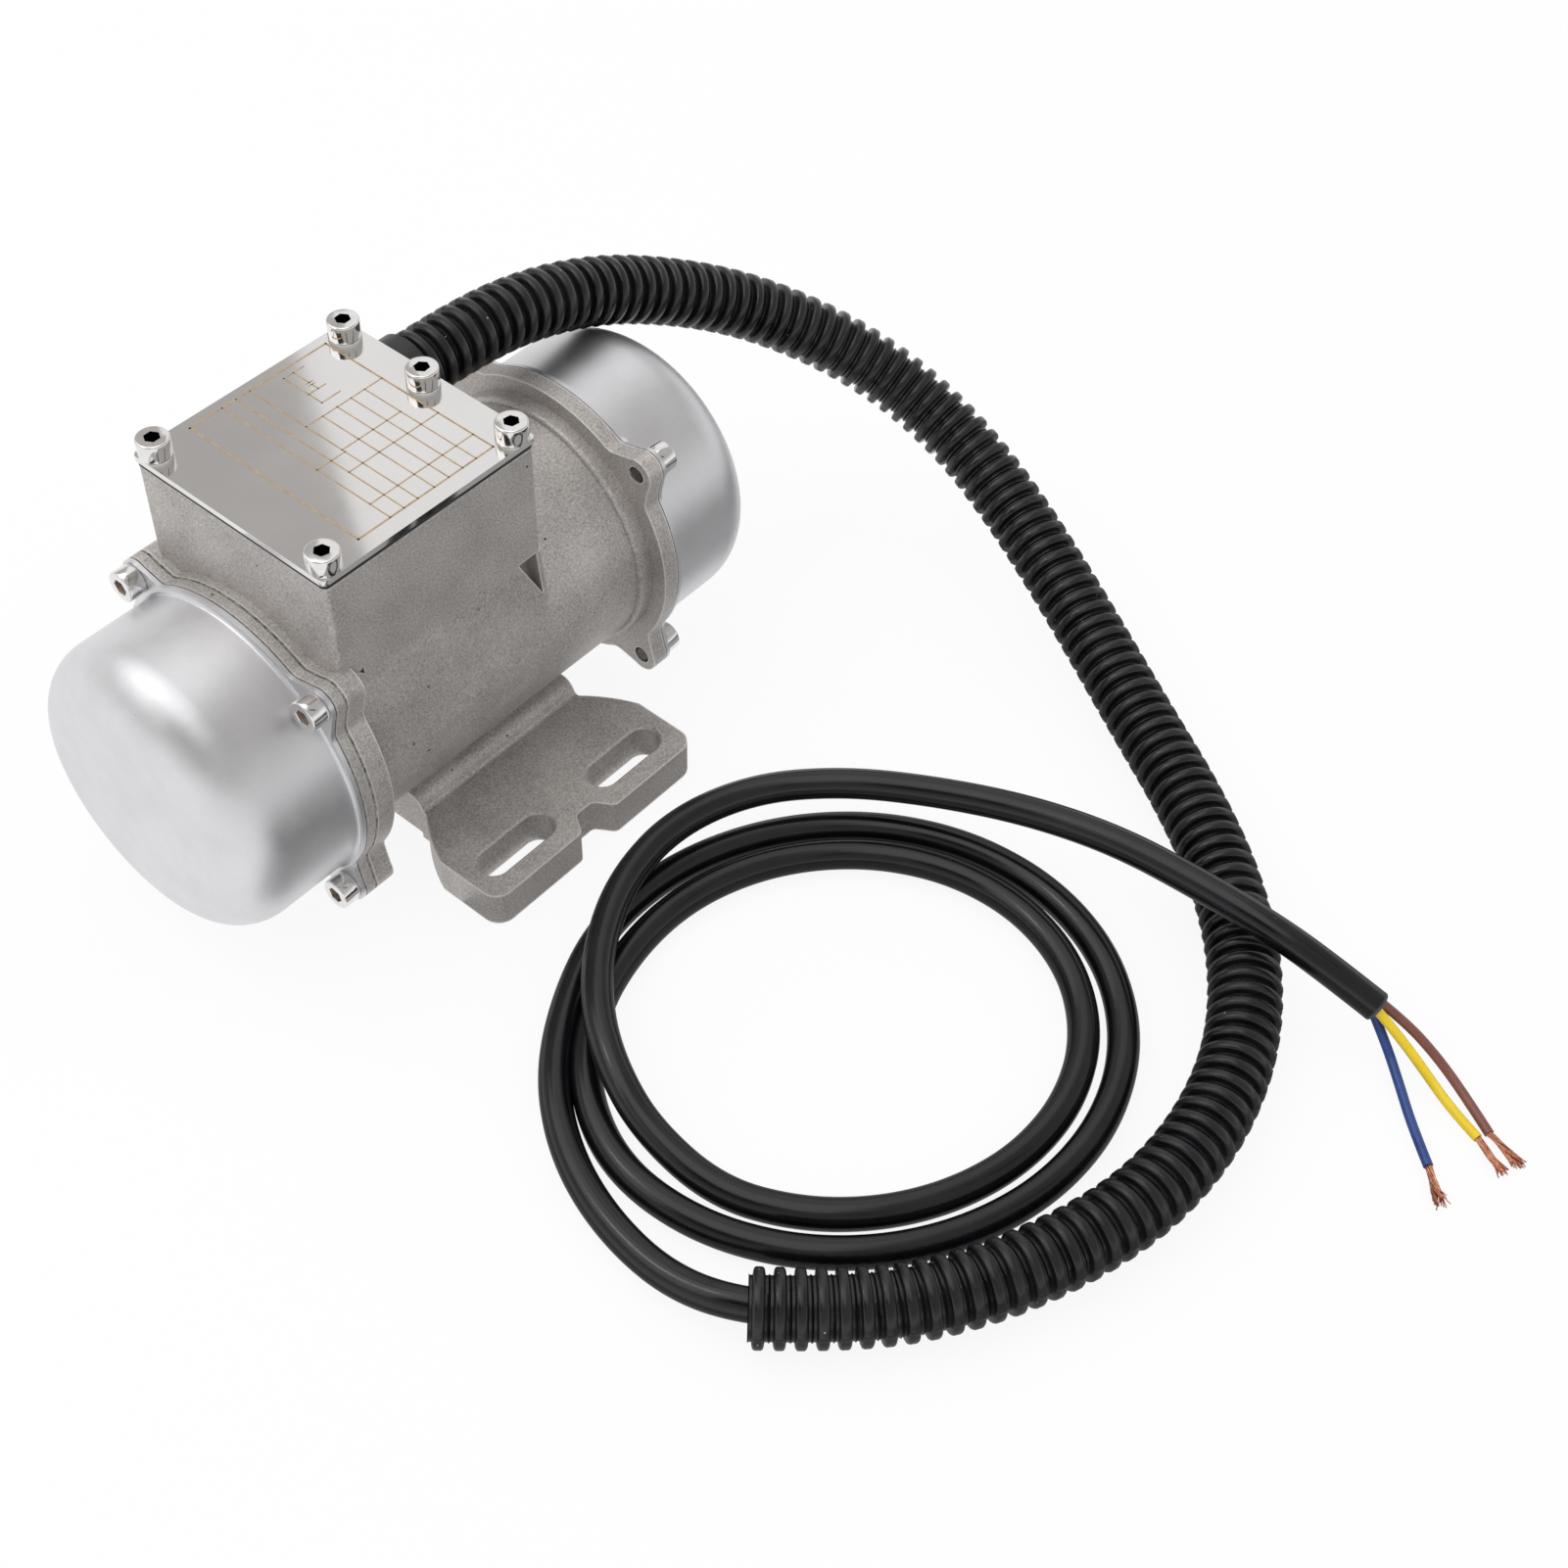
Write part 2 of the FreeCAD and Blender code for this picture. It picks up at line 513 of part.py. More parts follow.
def cap_outline(radius, corner_r, x_open, x_end):
    """Closed (x, z) outline of a flat-ended cup, turned about the motor axis."""
    side = 1 if x_end > x_open else -1
    bend = corner_r * math.sqrt(0.5)
    bend_x = x_end - side * corner_r
    top = AXIS_Z + radius
    edges = [
        line((x_open, 0, AXIS_Z), (x_open, 0, top)),
        line((x_open, 0, top), (bend_x, 0, top)),
        arc((bend_x, 0, top), (bend_x + side * bend, 0, top - corner_r + bend),
            (x_end, 0, top - corner_r)),
        line((x_end, 0, top - corner_r), (x_end, 0, AXIS_Z)),
        line((x_end, 0, AXIS_Z), (x_open, 0, AXIS_Z)),
    ]
    face = Part.Face(Part.Wire(edges))
    return face.revolve(Vector(0, 0, AXIS_Z), Vector(1, 0, 0), 360)


def rear_cap():
    """Deep-drawn cover for the rear weights, with a thin eared flange."""
    x_end = REAR_CAP_X + CAP_LENGTH + CAP_WALL
    flange = eared_disc(REAR_CAP_X, REAR_CAP_X + CAP_WALL, M5_CLEAR_R)
    cup = cap_outline(CAP_R, CAP_CORNER_R, REAR_CAP_X, x_end)
    hollow = cap_outline(CAP_R - CAP_WALL, CAP_CORNER_R - CAP_WALL, REAR_CAP_X - 1, x_end - CAP_WALL)
    bend = cyl_x(CAP_R + 1.0, REAR_CAP_X + CAP_WALL, REAR_CAP_X + CAP_WALL + 1.0)
    bend = bend.cut(Part.makeTorus(CAP_R + 1.0, 1.0, Vector(REAR_CAP_X + CAP_WALL + 1.0, 0, AXIS_Z),
                                   Vector(1, 0, 0)))
    return fuse([flange, cup, bend]).cut(hollow)


def front_cap():
    cap = mirror_x(rear_cap())
    cap.translate(Vector(FRONT_CAP_X + REAR_CAP_X, 0, 0))
    return cap


def cap_screws(x, direction, length):
    return [socket_screw(length, (x, y, z), (direction, 0, 0)) for _, y, z in ear_positions()]


# ---------------------------------------------------------------- bearings, rotor and stator
def bearing(x0):
    """Outer ring, inner ring, and the balls in their cage, from x0 over the bearing's width."""
    x1 = x0 + BEARING_W
    groove = Part.makeTorus(BALL_PITCH_R, GROOVE_R, Vector((x0 + x1) / 2, 0, AXIS_Z), Vector(1, 0, 0))
    outer = ring_x(BEARING_OD / 2 - 0.02, BALL_PITCH_R + 2.0, x0, x1).cut(groove)
    inner = ring_x(BALL_PITCH_R - 2.0, BEARING_ID / 2, x0, x1).cut(groove)
    balls = [ring_x(BALL_PITCH_R + 0.9, BALL_PITCH_R - 0.9, (x0 + x1) / 2 - 1.2, (x0 + x1) / 2 + 1.2)]
    for k in range(BALL_COUNT):
        angle = 2 * math.pi * k / BALL_COUNT
        balls.append(Part.makeSphere(BALL_R, Vector((x0 + x1) / 2, BALL_PITCH_R * math.cos(angle),
                                                    AXIS_Z + BALL_PITCH_R * math.sin(angle))))
    return outer, inner, fuse(balls)


def wave_washer():
    """Wave spring that preloads the front bearing's outer ring."""
    seat_floor = FRONT_BEARING_X - BEARING_W - WASHER_T
    washer = ring_x(BEARING_OD / 2 - 0.4, BEARING_OD / 2 - 3.6, seat_floor + 0.5, seat_floor + 1.1)
    for k in range(3):
        crest = ring_x(BEARING_OD / 2 - 0.4, BEARING_OD / 2 - 3.6, seat_floor, seat_floor + 0.6)
        keep = rotate_x(block(seat_floor - 1, seat_floor + 2, -3, 3, AXIS_Z + 5, AXIS_Z + 20), 120 * k)
        washer = washer.fuse(crest.common(keep))
        crest.translate(Vector(1.0, 0, 0))
        washer = washer.fuse(crest.common(rotate_x(keep, 60)))
    return washer.removeSplitter()


def rotor_shaft():
    journal = BEARING_ID / 2 - 0.01
    shaft = fuse([
        cyl_x(SHAFT_END_R, -SHAFT_END_X, SHAFT_END_X),
        cyl_x(journal, FRONT_BEARING_X - BEARING_W - 4, REAR_BEARING_X + BEARING_W + 4),
        cyl_x(SHAFT_CORE_R, FRONT_BEARING_X, REAR_BEARING_X)])
    ends = edges_where(shaft, lambda e: abs(abs(e.CenterOfMass.x) - SHAFT_END_X) < 0.01)
    shaft = shaft.makeChamfer(0.8, ends)
    for side in (1, -1):
        shaft = shaft.cut(key_block(side))
        groove = ring_x(SHAFT_END_R + 1, SHAFT_END_R - 0.5, CIRCLIP_X - 0.1, CIRCLIP_X + CIRCLIP_T + 0.1)
        shaft = shaft.cut(groove if side == 1 else mirror_x(groove))
    return shaft


def key_block(side):
    """Parallel key under each fixed weight, sunk half into the shaft."""
    x0 = side * (FIXED_WEIGHT_X + 0.5)
    x1 = side * (FIXED_WEIGHT_X + WEIGHT_T - 0.5)
    return block(min(x0, x1), max(x0, x1), -KEY_W / 2, KEY_W / 2,
                 AXIS_Z + SHAFT_END_R - 2.0, AXIS_Z + SHAFT_END_R + 1.8)


def circlip(side):
    ring = ring_x(SHAFT_END_R + 2.2, SHAFT_END_R - 0.45, CIRCLIP_X, CIRCLIP_X + CIRCLIP_T)
    lug_z = AXIS_Z + SHAFT_END_R
    lugs = block(CIRCLIP_X, CIRCLIP_X + CIRCLIP_T, -4.0, 4.0, lug_z, lug_z + 3.6)
    gap = block(CIRCLIP_X - 1, CIRCLIP_X + 2, -1.4, 1.4, AXIS_Z, AXIS_Z + 20)
    clip = ring.fuse(lugs).cut(gap)
    for y in (-2.7, 2.7):
        clip = clip.cut(cyl_x(0.6, CIRCLIP_X - 1, CIRCLIP_X + 2, y, AXIS_Z + SHAFT_END_R + 2.2))
    clip = clip.removeSplitter()
    return clip if side == 1 else mirror_x(clip)


def weight_blank(x0):
    """Half disc below the shaft with a round hub."""
    disc = cyl_x(WEIGHT_R, x0, x0 + WEIGHT_T)
    upper_half = block(x0 - 1, x0 + WEIGHT_T + 1, -WEIGHT_R - 1, WEIGHT_R + 1, AXIS_Z, AXIS_Z + WEIGHT_R + 1)
    disc = disc.cut(upper_half)
    corners = edges_where(disc, lambda e: abs(abs(e.CenterOfMass.y) - WEIGHT_R) < 0.5
                          and abs(e.CenterOfMass.z - AXIS_Z) < 0.5 and e.Length < WEIGHT_T + 1)
    disc = disc.makeFillet(3.0, corners)
    return disc.fuse(cyl_x(WEIGHT_HUB_R, x0, x0 + WEIGHT_T))


def fixed_weight(side):
    weight = weight_blank(FIXED_WEIGHT_X).cut(cyl_x(SHAFT_END_R + 0.01, FIXED_WEIGHT_X - 1, 90))
    weight = weight.cut(key_block(1))
    weight = weight.removeSplitter()
    return weight if side == 1 else mirror_x(weight)


def adjustable_weight(side):
    """Outer weight: its split hub is clamped on the shaft by a cross bolt."""
    weight = weight_blank(ADJUSTABLE_X)
    lugs = block(ADJUSTABLE_X, ADJUSTABLE_X + WEIGHT_T, -9.0, 9.0, AXIS_Z + 6, AXIS_Z + WEIGHT_HUB_R + 4.5)
    weight = weight.fuse(lugs).cut(cyl_x(SHAFT_END_R + 0.05, ADJUSTABLE_X - 1, 95))
    weight = weight.cut(block(ADJUSTABLE_X - 1, ADJUSTABLE_X + WEIGHT_T + 1, -0.9, 0.9, AXIS_Z, AXIS_Z + 30))
    middle = ADJUSTABLE_X + WEIGHT_T / 2
    across = Vector(0, 1, 0)
    weight = weight.cut(Part.makeCylinder(CLAMP_BOLT_R + 0.1, 30, Vector(middle, -15, CLAMP_Z), across))
    weight = weight.cut(Part.makeCylinder(3.7, 10, Vector(middle, -19, CLAMP_Z), across))
    weight = weight.removeSplitter()
    return weight if side == 1 else mirror_x(weight)


def clamp_bolt(side):
    middle = ADJUSTABLE_X + WEIGHT_T / 2
    shank = Part.makeCylinder(CLAMP_BOLT_R, 20, Vector(middle, -9, CLAMP_Z), Vector(0, 1, 0))
    head = Part.makeCylinder(3.5, 4, Vector(middle, -13, CLAMP_Z), Vector(0, 1, 0))
    socket = Part.makeCylinder(1.6, 2.4, Vector(middle, -13.01, CLAMP_Z), Vector(0, 1, 0))
    bolt = head.cut(socket).fuse(shank)
    return bolt if side == 1 else mirror_x(bolt)


def rotor_cage_bar(k, radius, half_length):
    angle = 2 * math.pi * k / BARS
    return cyl_x(radius, -half_length, half_length, 15.4 * math.cos(angle), AXIS_Z + 15.4 * math.sin(angle))


def rotor_core():
    core = ring_x(ROTOR_R, SHAFT_CORE_R, -CORE_HALF, CORE_HALF)
    for k in range(BARS):
        core = core.cut(rotor_cage_bar(k, 1.5, CORE_HALF + 1))
    return core


def rotor_cage():
    """Cast aluminium cage: the bars, an end ring at each end and its fan blades."""
    rings = [ring_x(17.6, 11.5, CORE_HALF, CORE_HALF + 5), ring_x(17.6, 11.5, -CORE_HALF - 5, -CORE_HALF)]
    bars = [rotor_cage_bar(k, 1.5, CORE_HALF + 1) for k in range(BARS)]
    blades = []
    for k in range(7):
        blade = block(CORE_HALF + 4, CORE_HALF + 11, -0.8, 0.8, AXIS_Z + 12.5, AXIS_Z + 17)
        blades.append(rotate_x(blade, 360 * k / 7))
        blades.append(rotate_x(mirror_x(blade), 360 * k / 7))
    return fuse(rings + bars + blades)


def stator_slot(k):
    """One semi-closed slot: a parallel-sided pocket with a narrow mouth to the bore."""
    pocket = block(-CORE_HALF - 1, CORE_HALF + 1, -1.9, 1.9, AXIS_Z + 19.6, AXIS_Z + 26.5)
    mouth = block(-CORE_HALF - 1, CORE_HALF + 1, -0.7, 0.7, AXIS_Z + 17.5, AXIS_Z + 19.7)
    return rotate_x(pocket.fuse(mouth), 360 * k / SLOTS)


def stator_core():
    core = ring_x(BORE_R - 0.03, STATOR_BORE_R, -CORE_HALF, CORE_HALF)
    return core.cut(fuse([stator_slot(k) for k in range(SLOTS)]))


def stator_windings():
    """Copper coils: sides in the slots and a rounded bundle of end turns at each end."""
    sides = [rotate_x(block(-CORE_HALF - 1.5, CORE_HALF + 1.5, -1.6, 1.6, AXIS_Z + 20.0, AXIS_Z + 26.1),
                      360 * k / SLOTS) for k in range(SLOTS)]
    bundle = ring_x(28.0, 19.4, CORE_HALF + 1, CORE_HALF + 12)
    bundle = bundle.makeFillet(3.0, edges_where(bundle, lambda e: abs(
        e.CenterOfMass.x - CORE_HALF - 12) < 0.01 and len(e.Vertexes) == 1))
    return fuse(sides + [bundle, mirror_x(bundle)])


# ---------------------------------------------------------------- terminal box contents
def lid_plate(z0, z1, inset):
    plate = rounded_box(BOX_X0 - LID_OVERHANG + inset, BOX_X1 + LID_OVERHANG - inset,
                        BOX_HALF_Y + LID_OVERHANG - inset, z0, z1, 1.6)
    for x, y in lid_screw_positions():
        plate = plate.cut(cyl_z(M5_CLEAR_R, z0 - 1, z1 + 1, x, y))
    return plate


def lid_gasket():
    window = block(BOX_X0 + 4.6, BOX_X1 - 4.6, -BOX_HALF_Y + 4.6, BOX_HALF_Y - 4.6, BOX_TOP - 1, LID_Z + 1)
    for x, y in lid_screw_positions():
        window = window.cut(cyl_z(4.6, BOX_TOP - 2, LID_Z + 2, x, y))
    return lid_plate(BOX_TOP, LID_Z, LID_GASKET_INSET).cut(window)


def component_plate():
    plate = block(-33, 6.5, -26, 26, PLATE_Z, PLATE_TOP)
    for x in PLATE_PILLARS_X:
        plate = plate.cut(cyl_z(PLATE_SCREW_R + 0.2, PLATE_Z - 1, PLATE_TOP + 1, x, 0))
    return plate


def plate_screw(x):
    shank = cyl_z(PLATE_SCREW_R, PLATE_Z - 1.5, PLATE_TOP, x, 0)
    head = cyl_z(3.6, PLATE_TOP, PLATE_TOP + 2.2, x, 0)
    slot = block(x - 4, x + 4, -0.5, 0.5, PLATE_TOP + 1.2, PLATE_TOP + 3)
    return head.cut(slot).fuse(shank)


def run_capacitor():
    x0, x1, y0, y1, height = CAPACITOR
    body = block(x0, x1, y0, y1, PLATE_TOP, PLATE_TOP + height)
    return body.makeFillet(1.2, edges_where(body, lambda e: e.CenterOfMass.z > PLATE_TOP + 1))


def terminal_block():
    """Three-way insulated block with a wire hole and a screw well at each end of each way."""
    body = block(TERMINAL_XS[0] - 4, TERMINAL_XS[-1] + 4, TERMINAL_Y0, TERMINAL_Y1, PLATE_TOP,
                 PLATE_TOP + TERMINAL_H)
    for x in TERMINAL_XS:
        for y in (TERMINAL_Y0 + 4, TERMINAL_Y1 - 4):
            body = body.cut(cyl_z(1.9, PLATE_TOP + 5.5, PLATE_TOP + TERMINAL_H + 1, x, y))
        mouth = Vector(x, TERMINAL_Y0 - 1, PLATE_TOP + 3.6)
        body = body.cut(Part.makeCylinder(1.7, 18, mouth, Vector(0, 1, 0)))
    for x in (TERMINAL_XS[0] + 4, TERMINAL_XS[1] + 4):
        body = body.cut(block(x - 0.5, x + 0.5, TERMINAL_Y0 - 1, TERMINAL_Y1 + 1, PLATE_TOP + 7,
                              PLATE_TOP + TERMINAL_H + 1))
    return body


def terminal_screws():
    screws = []
    for x in TERMINAL_XS:
        for y in (TERMINAL_Y0 + 4, TERMINAL_Y1 - 4):
            screw = cyl_z(1.8, PLATE_TOP + 5.6, PLATE_TOP + 8.4, x, y)
            screws.append(screw.cut(block(x - 2, x + 2, y - 0.3, y + 0.3, PLATE_TOP + 7.6, PLATE_TOP + 9)))
    return screws


def earth_screw():
    x, y = EARTH_SCREW
    washer = cyl_z(4.2, EARTH_Z, EARTH_Z + 1.0, x, y).cut(cyl_z(2.0, EARTH_Z - 1, EARTH_Z + 2, x, y))
    head = cyl_z(3.5, EARTH_Z + 1.0, EARTH_Z + 3.4, x, y)
    shank = cyl_z(2.0, EARTH_Z - 5, EARTH_Z + 1.5, x, y)
    slot = block(x - 4, x + 4, y - 0.5, y + 0.5, EARTH_Z + 2.4, EARTH_Z + 4)
    return fuse([washer, head, shank]).cut(slot)


def earth_boss():
    x, y = EARTH_SCREW
    return cyl_z(4.6, 66, EARTH_Z, x, y)


def conduit_connector():
    """Black nipple screwed into the box wall: collar, inner spigot for the conduit, cable bore."""
    thread = cyl_x(CONNECTOR_THREAD_R, BOX_X1 - BOX_WALL - 1.5, BOX_X1 + 1, CONNECTOR_Y, CONNECTOR_Z)
    collar = cyl_x(CONNECTOR_R, BOX_X1, CONDUIT_START_X, CONNECTOR_Y, CONNECTOR_Z)
    collar = collar.makeChamfer(0.8, edges_where(collar, lambda e: len(e.Vertexes) == 1))
    spigot = cyl_x(CONDUIT_BORE_R - 0.3, CONDUIT_START_X - 1, CONDUIT_START_X + 9, CONNECTOR_Y, CONNECTOR_Z)
    connector = fuse([thread, collar, spigot])
    return connector.cut(cyl_x(CONNECTOR_BORE_R, 0, 60, CONNECTOR_Y, CONNECTOR_Z))


# ---------------------------------------------------------------- cords
def cord_wire(points, name):
    """Straight runs joined by tangent arcs, each as large as its two runs allow."""
    points = [Vector(*p) for p in points]
    edges = []
    radii = []
    start = points[0]
    for before, corner, after in zip(points, points[1:], points[2:]):
        run_in = corner - before
        run_out = after - corner
        shorter = min(run_in.Length, run_out.Length)
        turn = run_in.getAngle(run_out)
        reach = 0.45 * shorter
        radii.append(reach / math.tan(turn / 2))
        run_in.normalize()
        run_out.normalize()
        arc_start = corner - run_in * reach
        arc_end = corner + run_out * reach
        inward = run_out - run_in
        inward.normalize()
        sagitta = radii[-1] * (1 / math.cos(turn / 2) - 1)
        edges.append(Part.LineSegment(start, arc_start).toShape())
        edges.append(Part.Arc(arc_start, corner + inward * sagitta, arc_end).toShape())
        start = arc_end
    edges.append(Part.LineSegment(start, points[-1]).toShape())
    wire = Part.Wire(edges)
    print("%-16s length %7.1f  radii %s" % (name, wire.Length, " ".join("%.0f" % r for r in radii)))
    return wire


def tube(points, radius, name):
    wire = cord_wire(points, name)
    direction = Vector(*points[1]) - Vector(*points[0])
    profile = Part.Wire(Part.makeCircle(radius, Vector(*points[0]), direction))
    pipe = wire.makePipeShell([profile], True, True)
    expected = math.pi * radius * radius * wire.Length
    print("%-16s volume / (section x length) = %.4f" % (name, pipe.Volume / expected))
    return pipe


def cable_coil():
    """Outer shape of the two flat turns that lie side by side on the floor."""
    inner = COIL_INNER_TURN_R
    outer = COIL_OUTER_TURN_R
    low = CABLE_Z - CABLE_R
    high = CABLE_Z + CABLE_R
    section = Part.Wire([
        line((inner, 0, low), (outer, 0, low)),
        arc((outer, 0, low), (outer + CABLE_R, 0, CABLE_Z), (outer, 0, high)),
        line((outer, 0, high), (inner, 0, high)),
        arc((inner, 0, high), (inner - CABLE_R, 0, CABLE_Z), (inner, 0, low)),
    ])
    ring = Part.Face(section).revolve(Vector(0, 0, 0), Vector(0, 0, 1), 360)
    ring.translate(Vector(COIL_X, COIL_Y, 0))
    return ring


def copper_ends():
    ends = []
    for route in CORE_ROUTES.values():
        last = Vector(*route[-1])
        direction = last - Vector(*route[-2])
        direction.z = 0
        direction.normalize()
        ends.append(Part.makeCylinder(COPPER_R, COPPER_LENGTH, last, direction))
    return ends


def wires(routes, name):
    return [tube(route, CORE_R, "%s_%d" % (name, k)) for k, route in enumerate(routes)]


# ---------------------------------------------------------------- build every node
def all_nodes():
    housing = motor_housing()
    x, y = EARTH_SCREW
    housing = housing.fuse(earth_boss()).cut(cyl_z(2.05, EARTH_Z - 6, EARTH_Z + 1, x, y))
    yield "motor_housing", housing.removeSplitter()
    yield "front_end_shield", front_end_shield()
    yield "end_shield_gasket", ring_gasket(SHIELD_X1, -BODY_HALF, BORE_R + 0.3, M5_CLEAR_R)
    yield "front_cap_seal", ring_gasket(FRONT_CAP_X, SHIELD_X0, CAP_R - CAP_WALL, M5_CLEAR_R)
    yield "rear_cap_seal", ring_gasket(BODY_HALF, REAR_CAP_X, CAP_R - CAP_WALL, M5_CLEAR_R)
    yield "front_cap", front_cap()
    yield "rear_cap", rear_cap()
    front_x = FRONT_CAP_X - CAP_WALL
    rear_x = REAR_CAP_X + CAP_WALL
    yield "front_cap_screws", Part.makeCompound(cap_screws(front_x, 1, 10))
    rear_shank = rear_x - BODY_HALF + REAR_FLANGE - 0.3
    yield "rear_cap_screws", Part.makeCompound(cap_screws(rear_x, -1, rear_shank))

    for end, x0 in (("front", FRONT_BEARING_X - BEARING_W), ("rear", REAR_BEARING_X)):
        outer, inner, balls = bearing(x0)
        yield end + "_bearing_outer_ring", outer
        yield end + "_bearing_inner_ring", inner
        yield end + "_bearing_balls", balls
    yield "bearing_wave_washer", wave_washer()

    yield "rotor_shaft", rotor_shaft()
    yield "rotor_core", rotor_core()
    yield "rotor_cage", rotor_cage()
    yield "stator_core", stator_core()
    yield "stator_windings", stator_windings()
    for end, side in (("front", -1), ("rear", 1)):
        yield end + "_fixed_weight", fixed_weight(side)
        yield end + "_adjustable_weight", adjustable_weight(side)
        yield end + "_clamp_bolt", clamp_bolt(side)
    yield "weight_keys", Part.makeCompound([key_block(-1), key_block(1)])
    yield "shaft_circlips", Part.makeCompound([circlip(-1), circlip(1)])

    yield "lid_gasket", lid_gasket()
    yield "terminal_box_lid", lid_plate(LID_Z, LID_TOP, 0)
    yield "lid_screws", Part.makeCompound(
        [socket_screw(12, (x, y, LID_TOP), (0, 0, -1)) for x, y in lid_screw_positions()])
    yield "component_plate", component_plate()
    yield "plate_screws", Part.makeCompound([plate_screw(x) for x in PLATE_PILLARS_X])
    yield "run_capacitor", run_capacitor()
    yield "terminal_block", terminal_block()
    yield "terminal_screws", Part.makeCompound(terminal_screws())
    yield "earth_screw", earth_screw()
    yield "motor_leads", Part.makeCompound(wires(MOTOR_LEADS, "motor_lead"))
    yield "supply_leads", Part.makeCompound(wires(SUPPLY_LEADS, "supply_lead"))
    yield "earth_lead", Part.makeCompound(wires(EARTH_LEADS, "earth_lead"))
    yield "conduit_connector", conduit_connector()
    yield "cable_entry", cyl_x(CABLE_R, ENTRY_X, CONDUIT_START_X, CONNECTOR_Y, CONNECTOR_Z)

    conduit = tube(CONDUIT_ROUTE, CONDUIT_R, "conduit")
    yield "conduit", conduit.cut(tube(CONDUIT_ROUTE, CONDUIT_BORE_R, "conduit bore"))
    yield "supply_cable", tube(CONDUIT_ROUTE + CABLE_LEAD_ROUTE, CABLE_R, "supply_cable")
    yield "cable_coil", cable_coil()
    yield "cable_tail", tube(TAIL_ROUTE, CABLE_R, "cable_tail")
    for name, route in CORE_ROUTES.items():
        yield name, tube(route, CORE_R, name)
    yield "copper_ends", Part.makeCompound(copper_ends())


for node_name, node_shape in all_nodes():
    export(node_name, node_shape)
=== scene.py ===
# %% [markdown]
# # A small vibration motor with its conduit and cable
#
# The real object shakes a feeder or a hopper. A cast stainless housing stands on four slotted
# feet, a deep-drawn cap covers the eccentric weights at each end, and a terminal box with a
# polished lid sits on top. A corrugated conduit leaves the box, and a round three-core cable
# comes out of it, lies in a loose coil and ends in three stripped cores.
#
# The solid model already has the sizes. This lesson dresses it: each step says what a piece is,
# how it could be made, and why it was made this way.

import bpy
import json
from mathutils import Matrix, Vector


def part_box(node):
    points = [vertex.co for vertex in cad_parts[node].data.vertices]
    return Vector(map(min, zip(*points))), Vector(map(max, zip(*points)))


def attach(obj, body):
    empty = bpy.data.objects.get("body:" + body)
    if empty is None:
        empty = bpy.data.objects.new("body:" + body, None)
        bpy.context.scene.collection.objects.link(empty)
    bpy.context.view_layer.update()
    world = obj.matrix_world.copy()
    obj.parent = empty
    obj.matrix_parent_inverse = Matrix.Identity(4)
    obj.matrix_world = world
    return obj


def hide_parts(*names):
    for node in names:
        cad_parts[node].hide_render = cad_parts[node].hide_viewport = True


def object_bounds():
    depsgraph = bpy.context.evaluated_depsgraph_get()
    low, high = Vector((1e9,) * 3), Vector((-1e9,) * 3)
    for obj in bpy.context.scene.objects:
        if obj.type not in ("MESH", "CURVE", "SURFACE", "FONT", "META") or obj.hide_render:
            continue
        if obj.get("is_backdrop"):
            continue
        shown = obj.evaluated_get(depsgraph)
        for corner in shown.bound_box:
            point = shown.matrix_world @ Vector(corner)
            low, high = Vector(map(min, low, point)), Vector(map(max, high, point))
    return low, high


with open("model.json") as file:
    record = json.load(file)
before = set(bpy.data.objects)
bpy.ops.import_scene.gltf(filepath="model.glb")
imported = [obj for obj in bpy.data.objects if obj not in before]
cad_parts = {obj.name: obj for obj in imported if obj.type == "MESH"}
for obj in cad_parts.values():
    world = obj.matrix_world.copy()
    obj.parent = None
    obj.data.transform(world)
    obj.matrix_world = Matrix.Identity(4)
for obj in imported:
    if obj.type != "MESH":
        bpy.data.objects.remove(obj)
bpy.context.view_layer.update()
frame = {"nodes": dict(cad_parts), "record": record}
record = frame["record"]
nodes = frame["nodes"]

# %% Libraries and the motor's axis
import json
import math
import random

import bmesh
import bpy
from mathutils import Matrix, Vector

MM = 0.001
AXIS_Z = (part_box("rear_bearing_outer_ring")[0].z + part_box("rear_bearing_outer_ring")[1].z) / 2
print("the motor axis is", round(AXIS_Z / MM, 1), "mm above the feet")

# %% [markdown]
# ## The camera and the studio
#
# The motor is looked at from its front left and from well above, with a lens that is a little
# longer than normal. The studio is plain: a pale floor, a white surround, three soft boxes and a
# few cards. A polished metal shows what stands round it, so the surround matters more than the
# lamps do.
# The camera is set here by its place and its turn, because a lesson should give the same view
# each time. Aiming it with a constraint would also work, but would not give its small tilt.

# %% Camera
CAMERA_PLACE = (-0.2901, -0.3601, 0.4917)
CAMERA_TURN = (41.569, -1.279, -49.621)
LENS_MM = 55.18
SENSOR_MM = 36.0
bpy.ops.object.select_all(action="DESELECT")
bpy.ops.object.camera_add(
    location=CAMERA_PLACE, rotation=[math.radians(degrees) for degrees in CAMERA_TURN])
camera = bpy.context.object
camera.name = "studio_camera"
camera.data.lens = LENS_MM
camera.data.sensor_width = SENSOR_MM
bpy.context.scene.camera = camera
bpy.context.scene.view_settings.view_transform = "Standard"
print("camera lens", camera.data.lens, "mm")

# %% Floor, surround and soft boxes
FLOOR_SIZE = 6.0
FLOOR_Z = -0.0002
bpy.ops.mesh.primitive_plane_add(size=FLOOR_SIZE, location=(0, 0, FLOOR_Z))
floor = bpy.context.object
floor.name = "studio_floor"
floor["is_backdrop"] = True


def soft_box(name, place, aim, size, watts):
    """A square area lamp at a place, turned to face a point."""
    bpy.ops.object.light_add(type="AREA", location=place)
    lamp = bpy.context.object
    lamp.name = name
    lamp.data.size = size
    lamp.data.energy = watts
    lamp.rotation_euler = (Vector(aim) - Vector(place)).to_track_quat("-Z", "Y").to_euler()
    return lamp


